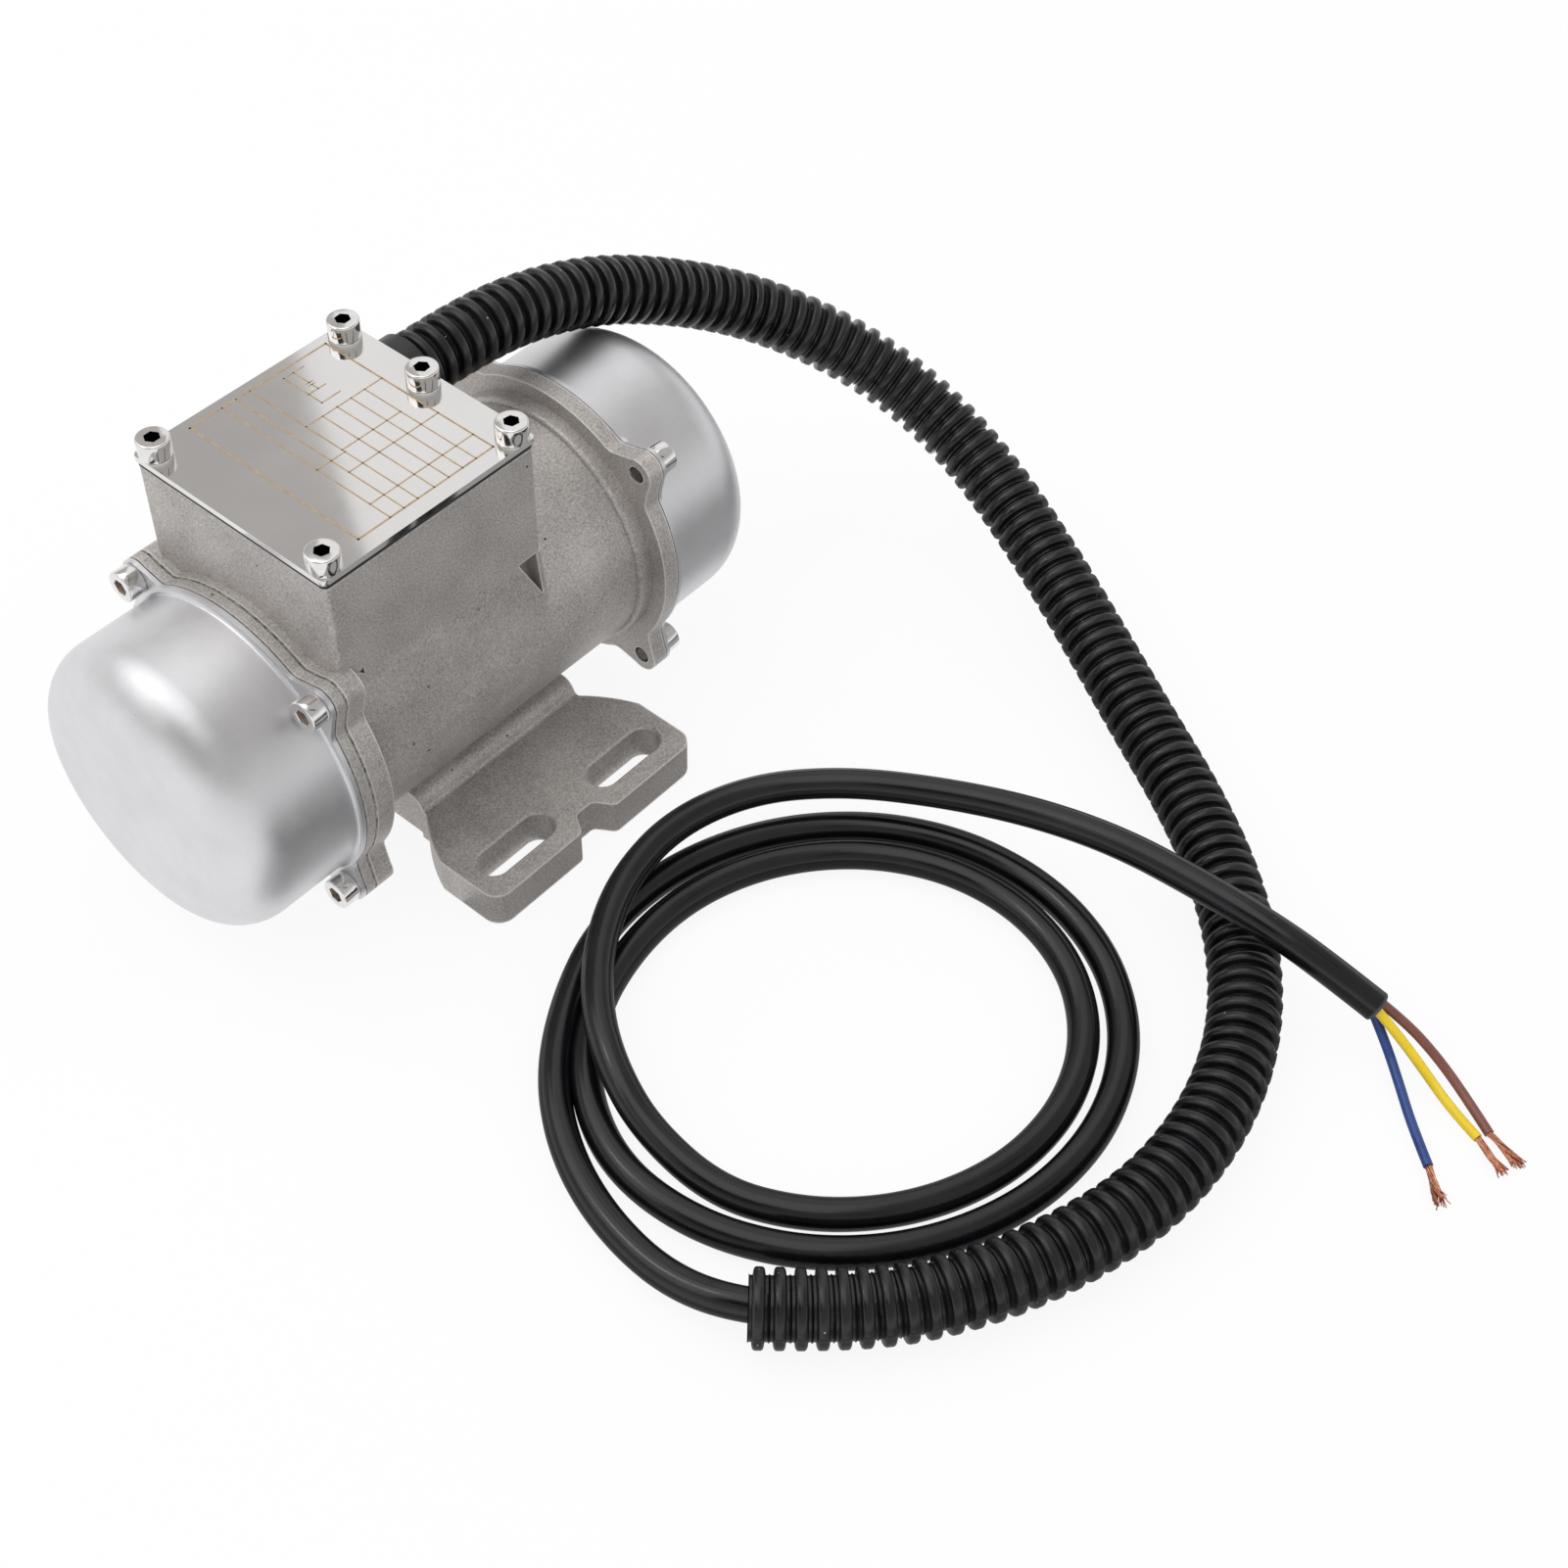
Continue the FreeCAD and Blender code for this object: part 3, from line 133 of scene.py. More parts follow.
LAMP_AIM = (0, -0.05, 0.05)
FILL_AIM = (0, -0.1, 0.03)
soft_box("key_box", place=(-0.25, 0.3, 1.1), aim=LAMP_AIM, size=1.4, watts=6.0)
soft_box("small_box", place=(-0.3, 0.45, 1.05), aim=LAMP_AIM, size=0.14, watts=0.5)
fill = soft_box("fill_box", place=(0.75, -0.75, 0.8), aim=FILL_AIM, size=1.0, watts=1.5)
fill.visible_glossy = False
print("three soft boxes hang over a floor", FLOOR_SIZE, "m wide")

# %% A helper for shader nodes
def add_node(tree, kind, links=None, values=None, **settings):
    """Adds a shader node, sets its options and values, and links its inputs."""
    node = tree.nodes.new("ShaderNode" + kind)
    for key, value in settings.items():
        setattr(node, key, value)
    for key, value in (values or {}).items():
        node.inputs[key].default_value = value
    for key, socket in (links or {}).items():
        tree.links.new(socket, node.inputs[key])
    return node


# %% The white floor
def bare_tree(owner):
    """Turns nodes on for a material or a world, and clears them."""
    owner.use_nodes = True
    owner.node_tree.nodes.clear()
    return owner.node_tree


FLOOR_GLOW = 0.9
FLOOR_WHITE = (0.92, 0.92, 0.92, 1)
WHITE = (1, 1, 1, 1)
floor_paint = bpy.data.materials.new("floor_white")
tree = bare_tree(floor_paint)
ray = add_node(tree, "LightPath")
matt = add_node(tree, "BsdfDiffuse", values={"Color": FLOOR_WHITE})
glow = add_node(tree, "Emission", values={"Color": WHITE})
direct = add_node(tree, "Math", {0: ray.outputs["Is Camera Ray"], 1: ray.outputs["Is Glossy Ray"]},
                  operation="MAXIMUM")
share = add_node(tree, "Math", {0: direct.outputs[0]}, {1: FLOOR_GLOW}, operation="MULTIPLY")
blend = add_node(tree, "MixShader", {0: share.outputs[0], 1: matt.outputs[0], 2: glow.outputs[0]})
add_node(tree, "OutputMaterial", {"Surface": blend.outputs[0]})
floor.data.materials.append(floor_paint)
print("floor glow", FLOOR_GLOW)

# %% The surround: white at the horizon, grey overhead in reflections
HORIZON = {"From Min": 0.10, "From Max": 0.45}
OVERHEAD_GREY = (0.49, 0.475, 0.47, 1)
SOFT_DAYLIGHT = {"Color": (0.97, 0.98, 1.0, 1), "Strength": 0.72}
world = bpy.data.worlds.new("white_surround")
bpy.context.scene.world = world
tree = bare_tree(world)
ray = add_node(tree, "LightPath")
look = add_node(tree, "TexCoord")
split = add_node(tree, "SeparateXYZ", {0: look.outputs["Generated"]})
height = add_node(tree, "MapRange", {"Value": split.outputs["Z"]}, HORIZON)
dome = add_node(tree, "Mix", {0: height.outputs[0]}, {6: WHITE, 7: OVERHEAD_GREY},
               data_type="RGBA")
clear = add_node(tree, "Math",
                 {0: ray.outputs["Is Camera Ray"], 1: ray.outputs["Is Transmission Ray"]},
                 operation="MAXIMUM")
shown = add_node(tree, "Math", {0: clear.outputs[0], 1: ray.outputs["Is Glossy Ray"]},
                 operation="MAXIMUM")
colour = add_node(tree, "Mix", {0: clear.outputs[0], 6: dome.outputs[2]}, {7: WHITE},
                  data_type="RGBA")
around = add_node(tree, "Background", values=SOFT_DAYLIGHT)
backdrop = add_node(tree, "Background", {"Color": colour.outputs[2]}, {"Strength": 1.0})
blend = add_node(tree, "MixShader",
                 {0: shown.outputs[0], 1: around.outputs[0], 2: backdrop.outputs[0]})
add_node(tree, "OutputWorld", {"Surface": blend.outputs[0]})
print("the surround is white where the camera looks")

# %% Cards that only reflections show
def card(name, place, turn, width, length, shade):
    """A plain card that polished metal can mirror and that nothing else sees."""
    bpy.ops.object.select_all(action="DESELECT")
    bpy.ops.mesh.primitive_plane_add(size=1, location=place, rotation=turn)
    sheet = bpy.context.object
    sheet.name = name
    sheet.scale = (width, length, 1)
    bpy.ops.object.transform_apply(location=True, rotation=True, scale=True)
    for kind in ("camera", "diffuse", "shadow", "transmission", "volume_scatter"):
        setattr(sheet, "visible_" + kind, False)
    paint = bpy.data.materials.new(name + "_paint")
    tree = bare_tree(paint)
    light = add_node(tree, "Emission", values={"Color": (shade, shade, shade, 1)})
    add_node(tree, "OutputMaterial", {"Surface": light.outputs[0]})
    sheet.data.materials.append(paint)
    sheet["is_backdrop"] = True


DARK_CARDS = (("dark_card", 190, 0.45), ("narrow_card_a", 243, 0.06), ("narrow_card_b", 297, 0.06))
DARK_CARDS_MIDDLE = Vector((-0.02, 0, 0.78))
DARK_CARDS_AWAY = 0.60
DARK_CARDS_TILT = math.radians(48)

card("white_card", place=(0.848, 0.582, 0.9), turn=(0, 0, math.radians(-30.2)), width=0.7,
     length=1.3, shade=0.93)
for name, azimuth, width in DARK_CARDS:
    out = Vector((math.cos(math.radians(azimuth)), math.sin(math.radians(azimuth)), 0))
    card(name, place=out * DARK_CARDS_AWAY + DARK_CARDS_MIDDLE,
         turn=(DARK_CARDS_TILT, 0, math.radians(azimuth + 90)), width=width, length=0.42,
         shade=0.03)
card("floor_card", place=(0.20, -0.36, 0.0005), turn=(0, 0, 0), width=0.62, length=0.62,
     shade=0.36)
print("five cards give the polished parts something to mirror")

# %% [markdown]
# ## Shader groups for the finishes
#
# A blasted casting, a drawn cap and a moulded plastic differ in colour and gloss, but all have a
# fine grain and uneven patches. Each effect is one node group with named inputs, so a material
# only chooses its values. The groups read Object coordinates, which stay with the piece when it
# moves, and give heights and masks. The shader itself stays in the material.

# %% Group helpers
def new_group(name, inputs, outputs):
    """An empty shader node group with named number or vector inputs and outputs."""
    group = bpy.data.node_groups.new(name, "ShaderNodeTree")
    for label, kind, value in inputs:
        socket = group.interface.new_socket(label, in_out="INPUT", socket_type="NodeSocket" + kind)
        if value is not None:
            socket.default_value = value
    for label, kind in outputs:
        group.interface.new_socket(label, in_out="OUTPUT", socket_type="NodeSocket" + kind)
    return group, group.nodes.new("NodeGroupInput"), group.nodes.new("NodeGroupOutput")


def place_group(tree, group, values=None, links=None):
    node = tree.nodes.new("ShaderNodeGroup")
    node.node_tree = group
    for key, value in (values or {}).items():
        node.inputs[key].default_value = value
    for key, socket in (links or {}).items():
        tree.links.new(socket, node.inputs[key])
    return node


# %% Grain: a fine rough skin with paler and darker patches
grain, grain_in, grain_out = new_group(
    "grain",
    [("Coordinates", "Vector", None), ("Per metre", "Float", 2500.0),
     ("Patches per metre", "Float", 60.0)],
    [("Height", "Float"), ("Patches", "Float")],
)
speckle = add_node(
    grain, "TexNoise",
    {"Vector": grain_in.outputs["Coordinates"], "Scale": grain_in.outputs["Per metre"]},
    {"Detail": 3.0, "Roughness": 0.6})
broad = add_node(
    grain, "TexNoise",
    {"Vector": grain_in.outputs["Coordinates"], "Scale": grain_in.outputs["Patches per metre"]},
    {"Detail": 4.0, "Roughness": 0.55})
grain.links.new(speckle.outputs["Fac"], grain_out.inputs["Height"])
grain.links.new(broad.outputs["Fac"], grain_out.inputs["Patches"])
print("group:", grain.name)

# %% Pits: a few small dark pores, as a casting has
PIT_AREAS_PER_M = 45.0
PIT_AREAS_FROM = 0.55
pits, pits_in, pits_out = new_group(
    "pits",
    [("Coordinates", "Vector", None), ("Per metre", "Float", 170.0), ("Size", "Float", 0.05)],
    [("Mask", "Float")],
)
cells = add_node(
    pits, "TexVoronoi",
    {"Vector": pits_in.outputs["Coordinates"], "Scale": pits_in.outputs["Per metre"]},
    {"Randomness": 1.0})
near = add_node(pits, "Math", {0: cells.outputs["Distance"], 1: pits_in.outputs["Size"]},
                operation="LESS_THAN")
rare = add_node(pits, "TexNoise", {"Vector": pits_in.outputs["Coordinates"]},
                {"Scale": PIT_AREAS_PER_M, "Detail": 1.0})
some = add_node(pits, "Math", {0: rare.outputs["Fac"]}, {1: PIT_AREAS_FROM},
                operation="GREATER_THAN")
both = add_node(pits, "Math", {0: near.outputs[0], 1: some.outputs[0]}, operation="MULTIPLY")
pits.links.new(both.outputs[0], pits_out.inputs["Mask"])
print("group:", pits.name)

# %% Painted edge highlight: a mask along the corners that stand out, where the colour is lightened as if they caught the light
edge_highlight, edge_highlight_in, edge_highlight_out = new_group("painted_edge_highlight", [("Reach", "Float", 0.0008)], [("Mask", "Float")])
inner = add_node(edge_highlight, "AmbientOcclusion", {"Distance": edge_highlight_in.outputs["Reach"]}, inside=True,
                 only_local=True, samples=8)
edge_lit = add_node(edge_highlight, "MapRange", {"Value": inner.outputs["AO"]},
                {"From Min": 0.85, "From Max": 0.45, "To Min": 0.0, "To Max": 1.0})
edge_highlight.links.new(edge_lit.outputs[0], edge_highlight_out.inputs["Mask"])
print("group:", edge_highlight.name)

# %% Streaks: fine marks along one direction, as the edges of stacked sheets show
streaks, streaks_in, streaks_out = new_group(
    "streaks",
    [("Coordinates", "Vector", None), ("Stretch", "Vector", (60.0, 900.0, 900.0))],
    [("Marks", "Float")],
)
stretched = add_node(
    streaks, "VectorMath",
    {0: streaks_in.outputs["Coordinates"], 1: streaks_in.outputs["Stretch"]},
    operation="MULTIPLY")
lines = add_node(streaks, "TexNoise", {"Vector": stretched.outputs[0]},
                 {"Scale": 1.0, "Detail": 3.0})
streaks.links.new(lines.outputs["Fac"], streaks_out.inputs["Marks"])
print("group:", streaks.name)

# %% [markdown]
# ## The materials
#
# Metal looks like metal when its colour sits in the reflection, so Metallic is 1 on clean metal
# and lower where blasting or etching dulls it, and in the screws' sockets and threads, whose
# darker colour is painted shade. The roughness then tells the finishes apart: 0.50 for the blasted
# casting, 0.44 for the drawn caps and 0.07 for the polished lid. One helper builds every such
# material from the groups above; the plastics use it with Metallic 0.

# %% One recipe for most finishes
def make_finish(name, dark, light, metallic, rough, spread, grains, depth, patches, streak=None,
                pit=0.0, pit_tone=(0.05, 0.045, 0.04), fine=0.0, edge_highlight_tone=None):
    """A material whose colour and roughness drift in patches, over a fine bump.

    Grains and patches are counted per metre, and the bump's depth is in mm.
    """
    material = bpy.data.materials.new(name)
    material.use_nodes = True
    tree = material.node_tree
    shader = tree.nodes["Principled BSDF"]
    shader.inputs["Metallic"].default_value = metallic
    where = add_node(tree, "TexCoord")
    skin = place_group(tree, grain, {"Per metre": grains, "Patches per metre": patches},
                       {"Coordinates": where.outputs["Object"]})
    drift = skin.outputs["Patches"]
    if fine:
        dusted = add_node(tree, "Mix", {2: drift, 3: skin.outputs["Height"]}, {0: fine})
        drift = dusted.outputs[0]
    if streak:
        marks = place_group(tree, streaks, {"Stretch": streak},
                            {"Coordinates": where.outputs["Object"]})
        both = add_node(tree, "Mix", {2: drift, 3: marks.outputs["Marks"]}, {0: 0.5})
        drift = both.outputs[0]
    mixed = add_node(tree, "MapRange", {"Value": drift}, {"From Min": 0.35, "From Max": 0.65})
    colour = add_node(tree, "Mix", {0: mixed.outputs[0]}, {6: (*dark, 1), 7: (*light, 1)},
                      data_type="RGBA")
    tone = colour.outputs[2]
    if pit:
        pores = place_group(tree, pits, {"Size": pit}, {"Coordinates": where.outputs["Object"]})
        spot = add_node(tree, "Mix", {0: pores.outputs["Mask"], 6: tone}, {7: (*pit_tone, 1)},
                        data_type="RGBA")
        tone = spot.outputs[2]
    # Painted highlight: along convex edges the colour turns to the lighter edge tone, as if the
    # edges caught the light.
    if edge_highlight_tone:
        edge_glint = place_group(tree, edge_highlight)
        bright = add_node(tree, "Mix", {0: edge_glint.outputs["Mask"], 6: tone}, {7: (*edge_highlight_tone, 1)},
                          data_type="RGBA")
        tone = bright.outputs[2]
    tree.links.new(tone, shader.inputs["Base Color"])
    uneven = add_node(tree, "MapRange", {"Value": drift},
                      {"From Min": 0.3, "From Max": 0.7,
                       "To Min": rough - spread, "To Max": rough + spread})
    tree.links.new(uneven.outputs[0], shader.inputs["Roughness"])
    bump = add_node(tree, "Bump", {"Height": skin.outputs["Height"]},
                    {"Strength": 1.0, "Distance": depth * MM})
    tree.links.new(bump.outputs[0], shader.inputs["Normal"])
    return material


# %% Bare and polished metals
# Its edge tone is a painted highlight along the casting's convex edges.
cast_steel = make_finish(
    "cast_blasted_steel", dark=(0.33, 0.308, 0.290), light=(0.66, 0.625, 0.595), metallic=0.6,
    rough=0.50, spread=0.06, grains=1700.0, depth=0.09, patches=70.0, pit=0.06, fine=0.75,
    edge_highlight_tone=(0.88, 0.85, 0.82))
drawn_steel = make_finish(
    "satin_drawn_steel", dark=(0.70, 0.70, 0.715), light=(0.775, 0.775, 0.79), metallic=1.0,
    rough=0.44, spread=0.03, grains=2200.0, depth=0.012, patches=90.0, fine=0.35, pit=0.03,
    pit_tone=(0.35, 0.35, 0.35))
polished_steel = make_finish(
    "mirror_polished_steel", dark=(0.76, 0.745, 0.73), light=(0.79, 0.78, 0.765), metallic=1.0,
    rough=0.07, spread=0.02, grains=2500.0, depth=0.0006, patches=40.0)
screw_steel = make_finish(
    "bright_screw_steel", dark=(0.76, 0.745, 0.73), light=(0.84, 0.83, 0.82), metallic=1.0,
    rough=0.10, spread=0.03, grains=4000.0, depth=0.0015, patches=300.0)
# Painted shade: the inside of the hex socket gets a darker, brownish colour for the shade in the
# recess.
socket_shade_steel = make_finish(
    "painted_shade_socket_steel", dark=(0.32, 0.26, 0.21), light=(0.58, 0.49, 0.41), metallic=0.3,
    rough=0.35, spread=0.08, grains=3000.0, depth=0.01, patches=300.0)
# Painted shade: the shank and tip are nearly black, for the shade inside the tapped holes where
# they are seen.
thread_shade_steel = make_finish(
    "painted_shade_thread_steel", dark=(0.05, 0.045, 0.04), light=(0.16, 0.15, 0.14), metallic=0.8,
    rough=0.45, spread=0.08, grains=3000.0, depth=0.02, patches=300.0)
etched_gold = make_finish(
    "etched_gold_brown", dark=(0.40, 0.29, 0.17), light=(0.55, 0.41, 0.26), metallic=0.5,
    rough=0.55, spread=0.08, grains=3000.0, depth=0.004, patches=400.0)
bearing_steel = make_finish(
    "ground_bearing_steel", dark=(0.6, 0.6, 0.6), light=(0.68, 0.68, 0.68), metallic=1.0,
    rough=0.12, spread=0.03, grains=5000.0, depth=0.001, patches=100.0)
turned_steel = make_finish(
    "turned_steel", dark=(0.42, 0.42, 0.42), light=(0.55, 0.55, 0.55), metallic=1.0, rough=0.32,
    spread=0.06, grains=3000.0, depth=0.004, patches=120.0)
laminated_steel = make_finish(
    "laminated_core_steel", dark=(0.24, 0.24, 0.25), light=(0.34, 0.34, 0.35), metallic=1.0,
    rough=0.5, spread=0.05, grains=2500.0, depth=0.01, patches=100.0, streak=(1500.0, 60.0, 60.0))
cage_metal = make_finish(
    "cast_aluminium", dark=(0.62, 0.63, 0.64), light=(0.74, 0.75, 0.76), metallic=1.0, rough=0.42,
    spread=0.06, grains=2500.0, depth=0.02, patches=90.0)
plated_sheet = make_finish(
    "zinc_plated_sheet", dark=(0.52, 0.52, 0.49), light=(0.66, 0.66, 0.62), metallic=1.0,
    rough=0.33, spread=0.07, grains=2500.0, depth=0.004, patches=110.0)
enamelled_copper = make_finish(
    "enamelled_copper", dark=(0.45, 0.17, 0.07), light=(0.62, 0.27, 0.12), metallic=0.9,
    rough=0.3, spread=0.08, grains=1800.0, depth=0.03, patches=220.0)
bare_copper = make_finish(
    "bare_copper", dark=(0.42, 0.15, 0.08), light=(0.84, 0.42, 0.28), metallic=1.0, rough=0.2,
    spread=0.06, grains=3000.0, depth=0.004, patches=500.0)
print(len(bpy.data.materials), "materials so far")

# %% Gaskets and sealing paste
gasket_rubber = make_finish(
    "gasket_rubber", dark=(0.012, 0.012, 0.013), light=(0.03, 0.03, 0.03), metallic=0.0,
    rough=0.6, spread=0.08, grains=2500.0, depth=0.02, patches=150.0)
sealing_paste = make_finish(
    "sealing_paste", dark=(0.012, 0.011, 0.010), light=(0.22, 0.21, 0.195), metallic=0.0,
    rough=0.6, spread=0.1, grains=2600.0, depth=0.12, patches=700.0)
smeared_gasket = make_finish(
    "smeared_gasket", dark=(0.015, 0.014, 0.013), light=(0.45, 0.43, 0.40), metallic=0.0,
    rough=0.6, spread=0.1, grains=2600.0, depth=0.08, patches=900.0, fine=0.3)
print(len(bpy.data.materials), "materials so far")

# %% Plastics
conduit_black = make_finish(
    "corrugated_black_plastic", dark=(0.005, 0.005, 0.006), light=(0.012, 0.012, 0.014),
    metallic=0.0, rough=0.27, spread=0.06, grains=1500.0, depth=0.006, patches=120.0, pit=0.045,
    pit_tone=(0.30, 0.30, 0.31))
sheath_black = make_finish(
    "cable_sheath_black", dark=(0.003, 0.003, 0.004), light=(0.007, 0.007, 0.009), metallic=0.0,
    rough=0.22, spread=0.04, grains=900.0, depth=0.004, patches=60.0, pit=0.02,
    pit_tone=(0.25, 0.25, 0.26))
# Its edge tone is a painted highlight along the rim of the cut end.
cut_sheath = make_finish(
    "cut_sheath_grey", dark=(0.03, 0.03, 0.032), light=(0.07, 0.07, 0.074), metallic=0.0,
    rough=0.5, spread=0.05, grains=2500.0, depth=0.02, patches=300.0,
    edge_highlight_tone=(0.22, 0.22, 0.225))
moulded_black = make_finish(
    "moulded_black_plastic", dark=(0.012, 0.012, 0.012), light=(0.024, 0.024, 0.025),
    metallic=0.0, rough=0.4, spread=0.05, grains=2500.0, depth=0.008, patches=120.0)
moulded_white = make_finish(
    "moulded_white_plastic", dark=(0.66, 0.64, 0.58), light=(0.76, 0.74, 0.68), metallic=0.0,
    rough=0.4, spread=0.05, grains=2500.0, depth=0.006, patches=120.0)
print(len(bpy.data.materials), "materials so far")

# %% Insulation of the three cores
brown_pvc = make_finish(
    "brown_pvc", dark=(0.19, 0.068, 0.050), light=(0.25, 0.092, 0.070), metallic=0.0, rough=0.3,
    spread=0.04, grains=2500.0, depth=0.001, patches=150.0)
yellow_pvc = make_finish(
    "yellow_pvc", dark=(0.88, 0.62, 0.012), light=(0.94, 0.70, 0.03), metallic=0.0, rough=0.3,
    spread=0.04, grains=2500.0, depth=0.001, patches=150.0)
blue_pvc = make_finish(
    "blue_pvc", dark=(0.02, 0.05, 0.21), light=(0.03, 0.075, 0.28), metallic=0.0, rough=0.3,
    spread=0.04, grains=2500.0, depth=0.001, patches=150.0)
print(len(bpy.data.materials), "materials")

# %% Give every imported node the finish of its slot
finish_of_slot = {
    "cast_stainless": cast_steel, "drawn_stainless": drawn_steel,
    "polished_stainless": polished_steel, "screw_steel": screw_steel,
    "gasket_rubber": gasket_rubber, "sealing_compound": sealing_paste,
    "bearing_steel": bearing_steel, "spring_steel": turned_steel, "machined_steel": turned_steel,
    "core_steel": laminated_steel, "cage_aluminium": cage_metal,
    "winding_copper": enamelled_copper, "bare_copper": bare_copper, "plate_steel": plated_sheet,
    "capacitor_case": moulded_black, "terminal_plastic": moulded_white,
    "black_lead": sheath_black, "brown_insulation": brown_pvc, "yellow_insulation": yellow_pvc,
    "blue_insulation": blue_pvc, "connector_plastic": moulded_black,
    "conduit_plastic": conduit_black, "cable_sheath": sheath_black,
}
slot_of_node = {part["node"]: part["material_slot"] for part in record["subparts"]}
for name, piece in nodes.items():
    piece.data.materials.clear()
    piece.data.materials.append(finish_of_slot[slot_of_node[name]])
nodes["end_shield_gasket"].data.materials[0] = smeared_gasket
print("finished", len(nodes), "packed nodes")

# %% [markdown]
# ## The cords
#
# The conduit and the cable lie as one smooth line: out of the box, over the rear cap, down to
# the floor in a wide curve, and round the coil. A NURBS curve takes the same route points as the
# solid tubes and is smooth by itself. The cable is that curve with a round bevel. The conduit
# needs ribs, so its mesh is built ring by ring along the points read back from its curve.

# %% Routes in metres, the same as those of the solid tubes
conduit_route = [
    (0.023, 0.0195, 0.1025), (0.045, 0.0195, 0.1025), (0.069, 0.0186, 0.0985),
    (0.091, 0.016, 0.0915), (0.1105, 0.0108, 0.0825), (0.1275, 0.003, 0.0735),
    (0.141, -0.008, 0.0645), (0.1515, -0.022, 0.0555), (0.158, -0.039, 0.0465),
    (0.1595, -0.0585, 0.0375), (0.156, -0.079, 0.029), (0.148, -0.102, 0.0215),
    (0.1375, -0.126, 0.015), (0.1245, -0.151, 0.011), (0.110, -0.177, 0.0094),
    (0.093, -0.200, 0.00935), (0.073, -0.219, 0.00935), (0.050, -0.2325, 0.00935),
    (0.025, -0.239, 0.00935), (0.0, -0.239, 0.00935), (-0.024, -0.2325, 0.00935),
    (-0.047, -0.2215, 0.00935), (-0.067, -0.206, 0.00935), (-0.0825, -0.187, 0.00935),
]
cable_lead_route = [
    (-0.0873, -0.168, 0.0052), (-0.0855, -0.147, 0.0043), (-0.0785, -0.127, 0.0042),
    (-0.066, -0.1095, 0.00415), (-0.0485, -0.0963, 0.00415),
]
tail_route = [
    (-0.032, -0.0935, 0.0135), (-0.012, -0.0835, 0.0136), (0.0105, -0.081, 0.014),
    (0.0325, -0.089, 0.0148), (0.0495, -0.106, 0.016), (0.0615, -0.128, 0.0182),
    (0.0695, -0.152, 0.022), (0.0738, -0.176, 0.025), (0.075, -0.200, 0.0259),
    (0.0755, -0.223, 0.0255), (0.0775, -0.238, 0.021), (0.0805, -0.2505, 0.0145),
]
core_routes = {
    "core_brown": [
        (0.0818, -0.25055, 0.01515), (0.0842, -0.2585, 0.0103), (0.0843, -0.2685, 0.005),
        (0.081, -0.279, 0.0019), (0.0755, -0.289, 0.0014),
    ],
    "core_yellow": [
        (0.07935, -0.25115, 0.01515), (0.0803, -0.259, 0.0092), (0.079, -0.2685, 0.004),
        (0.0755, -0.2785, 0.0015), (0.0725, -0.2875, 0.0014),
    ],
    "core_blue": [
        (0.08035, -0.2499, 0.0132), (0.0795, -0.2565, 0.0052), (0.073, -0.265, 0.0023),
        (0.065, -0.2735, 0.0015), (0.0575, -0.2825, 0.0014),
    ],
}
CABLE_R = 4.1 * MM
CONDUIT_R = 9.3 * MM
CORE_R = 1.25 * MM
print(len(conduit_route), "route points for the conduit")


# %% A smooth cord from route points
def spline_cord(name, route, radius, material):
    """A round cord: one open NURBS spline with the route's points as its control points."""
    curve = bpy.data.curves.new(name, "CURVE")
    curve.dimensions = "3D"
    spline = curve.splines.new("NURBS")
    spline.points.add(len(route) - 1)
    for point, place in zip(spline.points, route):
        point.co = (*place, 1)
    spline.order_u = 3
    spline.use_endpoint_u = True
    curve.resolution_u = 10
    curve.bevel_depth = radius
    curve.bevel_resolution = 7
    curve.use_fill_caps = True
    cord = bpy.data.objects.new(name, curve)
    bpy.context.collection.objects.link(cord)
    curve.materials.append(material)
    return cord


def centre_line(cord):
    """The points of a cord's own smooth line."""
    bare = bpy.data.objects.new(cord.name + "_line", cord.data.copy())
    bare.data.bevel_depth = 0
    mesh = bpy.data.meshes.new_from_object(bare)
    line = [vertex.co.copy() for vertex in mesh.vertices]
    bpy.data.objects.remove(bare)
    bpy.data.meshes.remove(mesh)
    return line


def line_length(line):
    return sum((b - a).length for a, b in zip(line, line[1:]))


# %% The turns of the coil
COIL = Vector((-0.0045, -0.1515, 0))
FIRST_LAP_R = 67.2 * MM
SECOND_LAP_R = 57.2 * MM
OVAL = 2.8 * MM
OVAL_TURN = 35
COIL_FROM = 108
COIL_SWEEP = 660
LAP_CHANGE = (290, 365)
LIFT = 0.5 * MM
LIFT_CHANGE = (300, 380)


def ease(x, start, end):
    """Goes smoothly from 0 at start to 1 at end."""
    t = min(max((x - start) / (end - start), 0), 1)
    return t * t * (3 - 2 * t)


STEP = 20
coil_route = []
for swept in range(0, COIL_SWEEP, STEP):
    angle = math.radians(COIL_FROM - swept)
    radius = FIRST_LAP_R + (SECOND_LAP_R - FIRST_LAP_R) * ease(swept, *LAP_CHANGE)
    radius += OVAL * math.cos(2 * (angle + math.radians(OVAL_TURN)))
    radius /= math.cos(math.radians(STEP) / 2)
    height = CABLE_R + LIFT * ease(swept, *LIFT_CHANGE)
    coil_route.append(tuple(
        COIL + Vector((radius * math.cos(angle), radius * math.sin(angle), height))))
print("the coil has", len(coil_route), "points over", swept, "degrees")

# %% The supply cable, from the conduit's start to its stripped end
climb_route = [(-0.0615, -0.1375, 0.0072), (-0.0565, -0.1215, 0.0118), (-0.047, -0.107, 0.0132)]
cable_route = conduit_route + cable_lead_route + coil_route + climb_route + tail_route
cable = spline_cord("supply_cable_sheath", cable_route, CABLE_R, sheath_black)
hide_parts("supply_cable", "cable_coil", "cable_tail")
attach(cable, "root")
cable_line = centre_line(cable)
print("cable", round(line_length(cable_line), 3), "m")

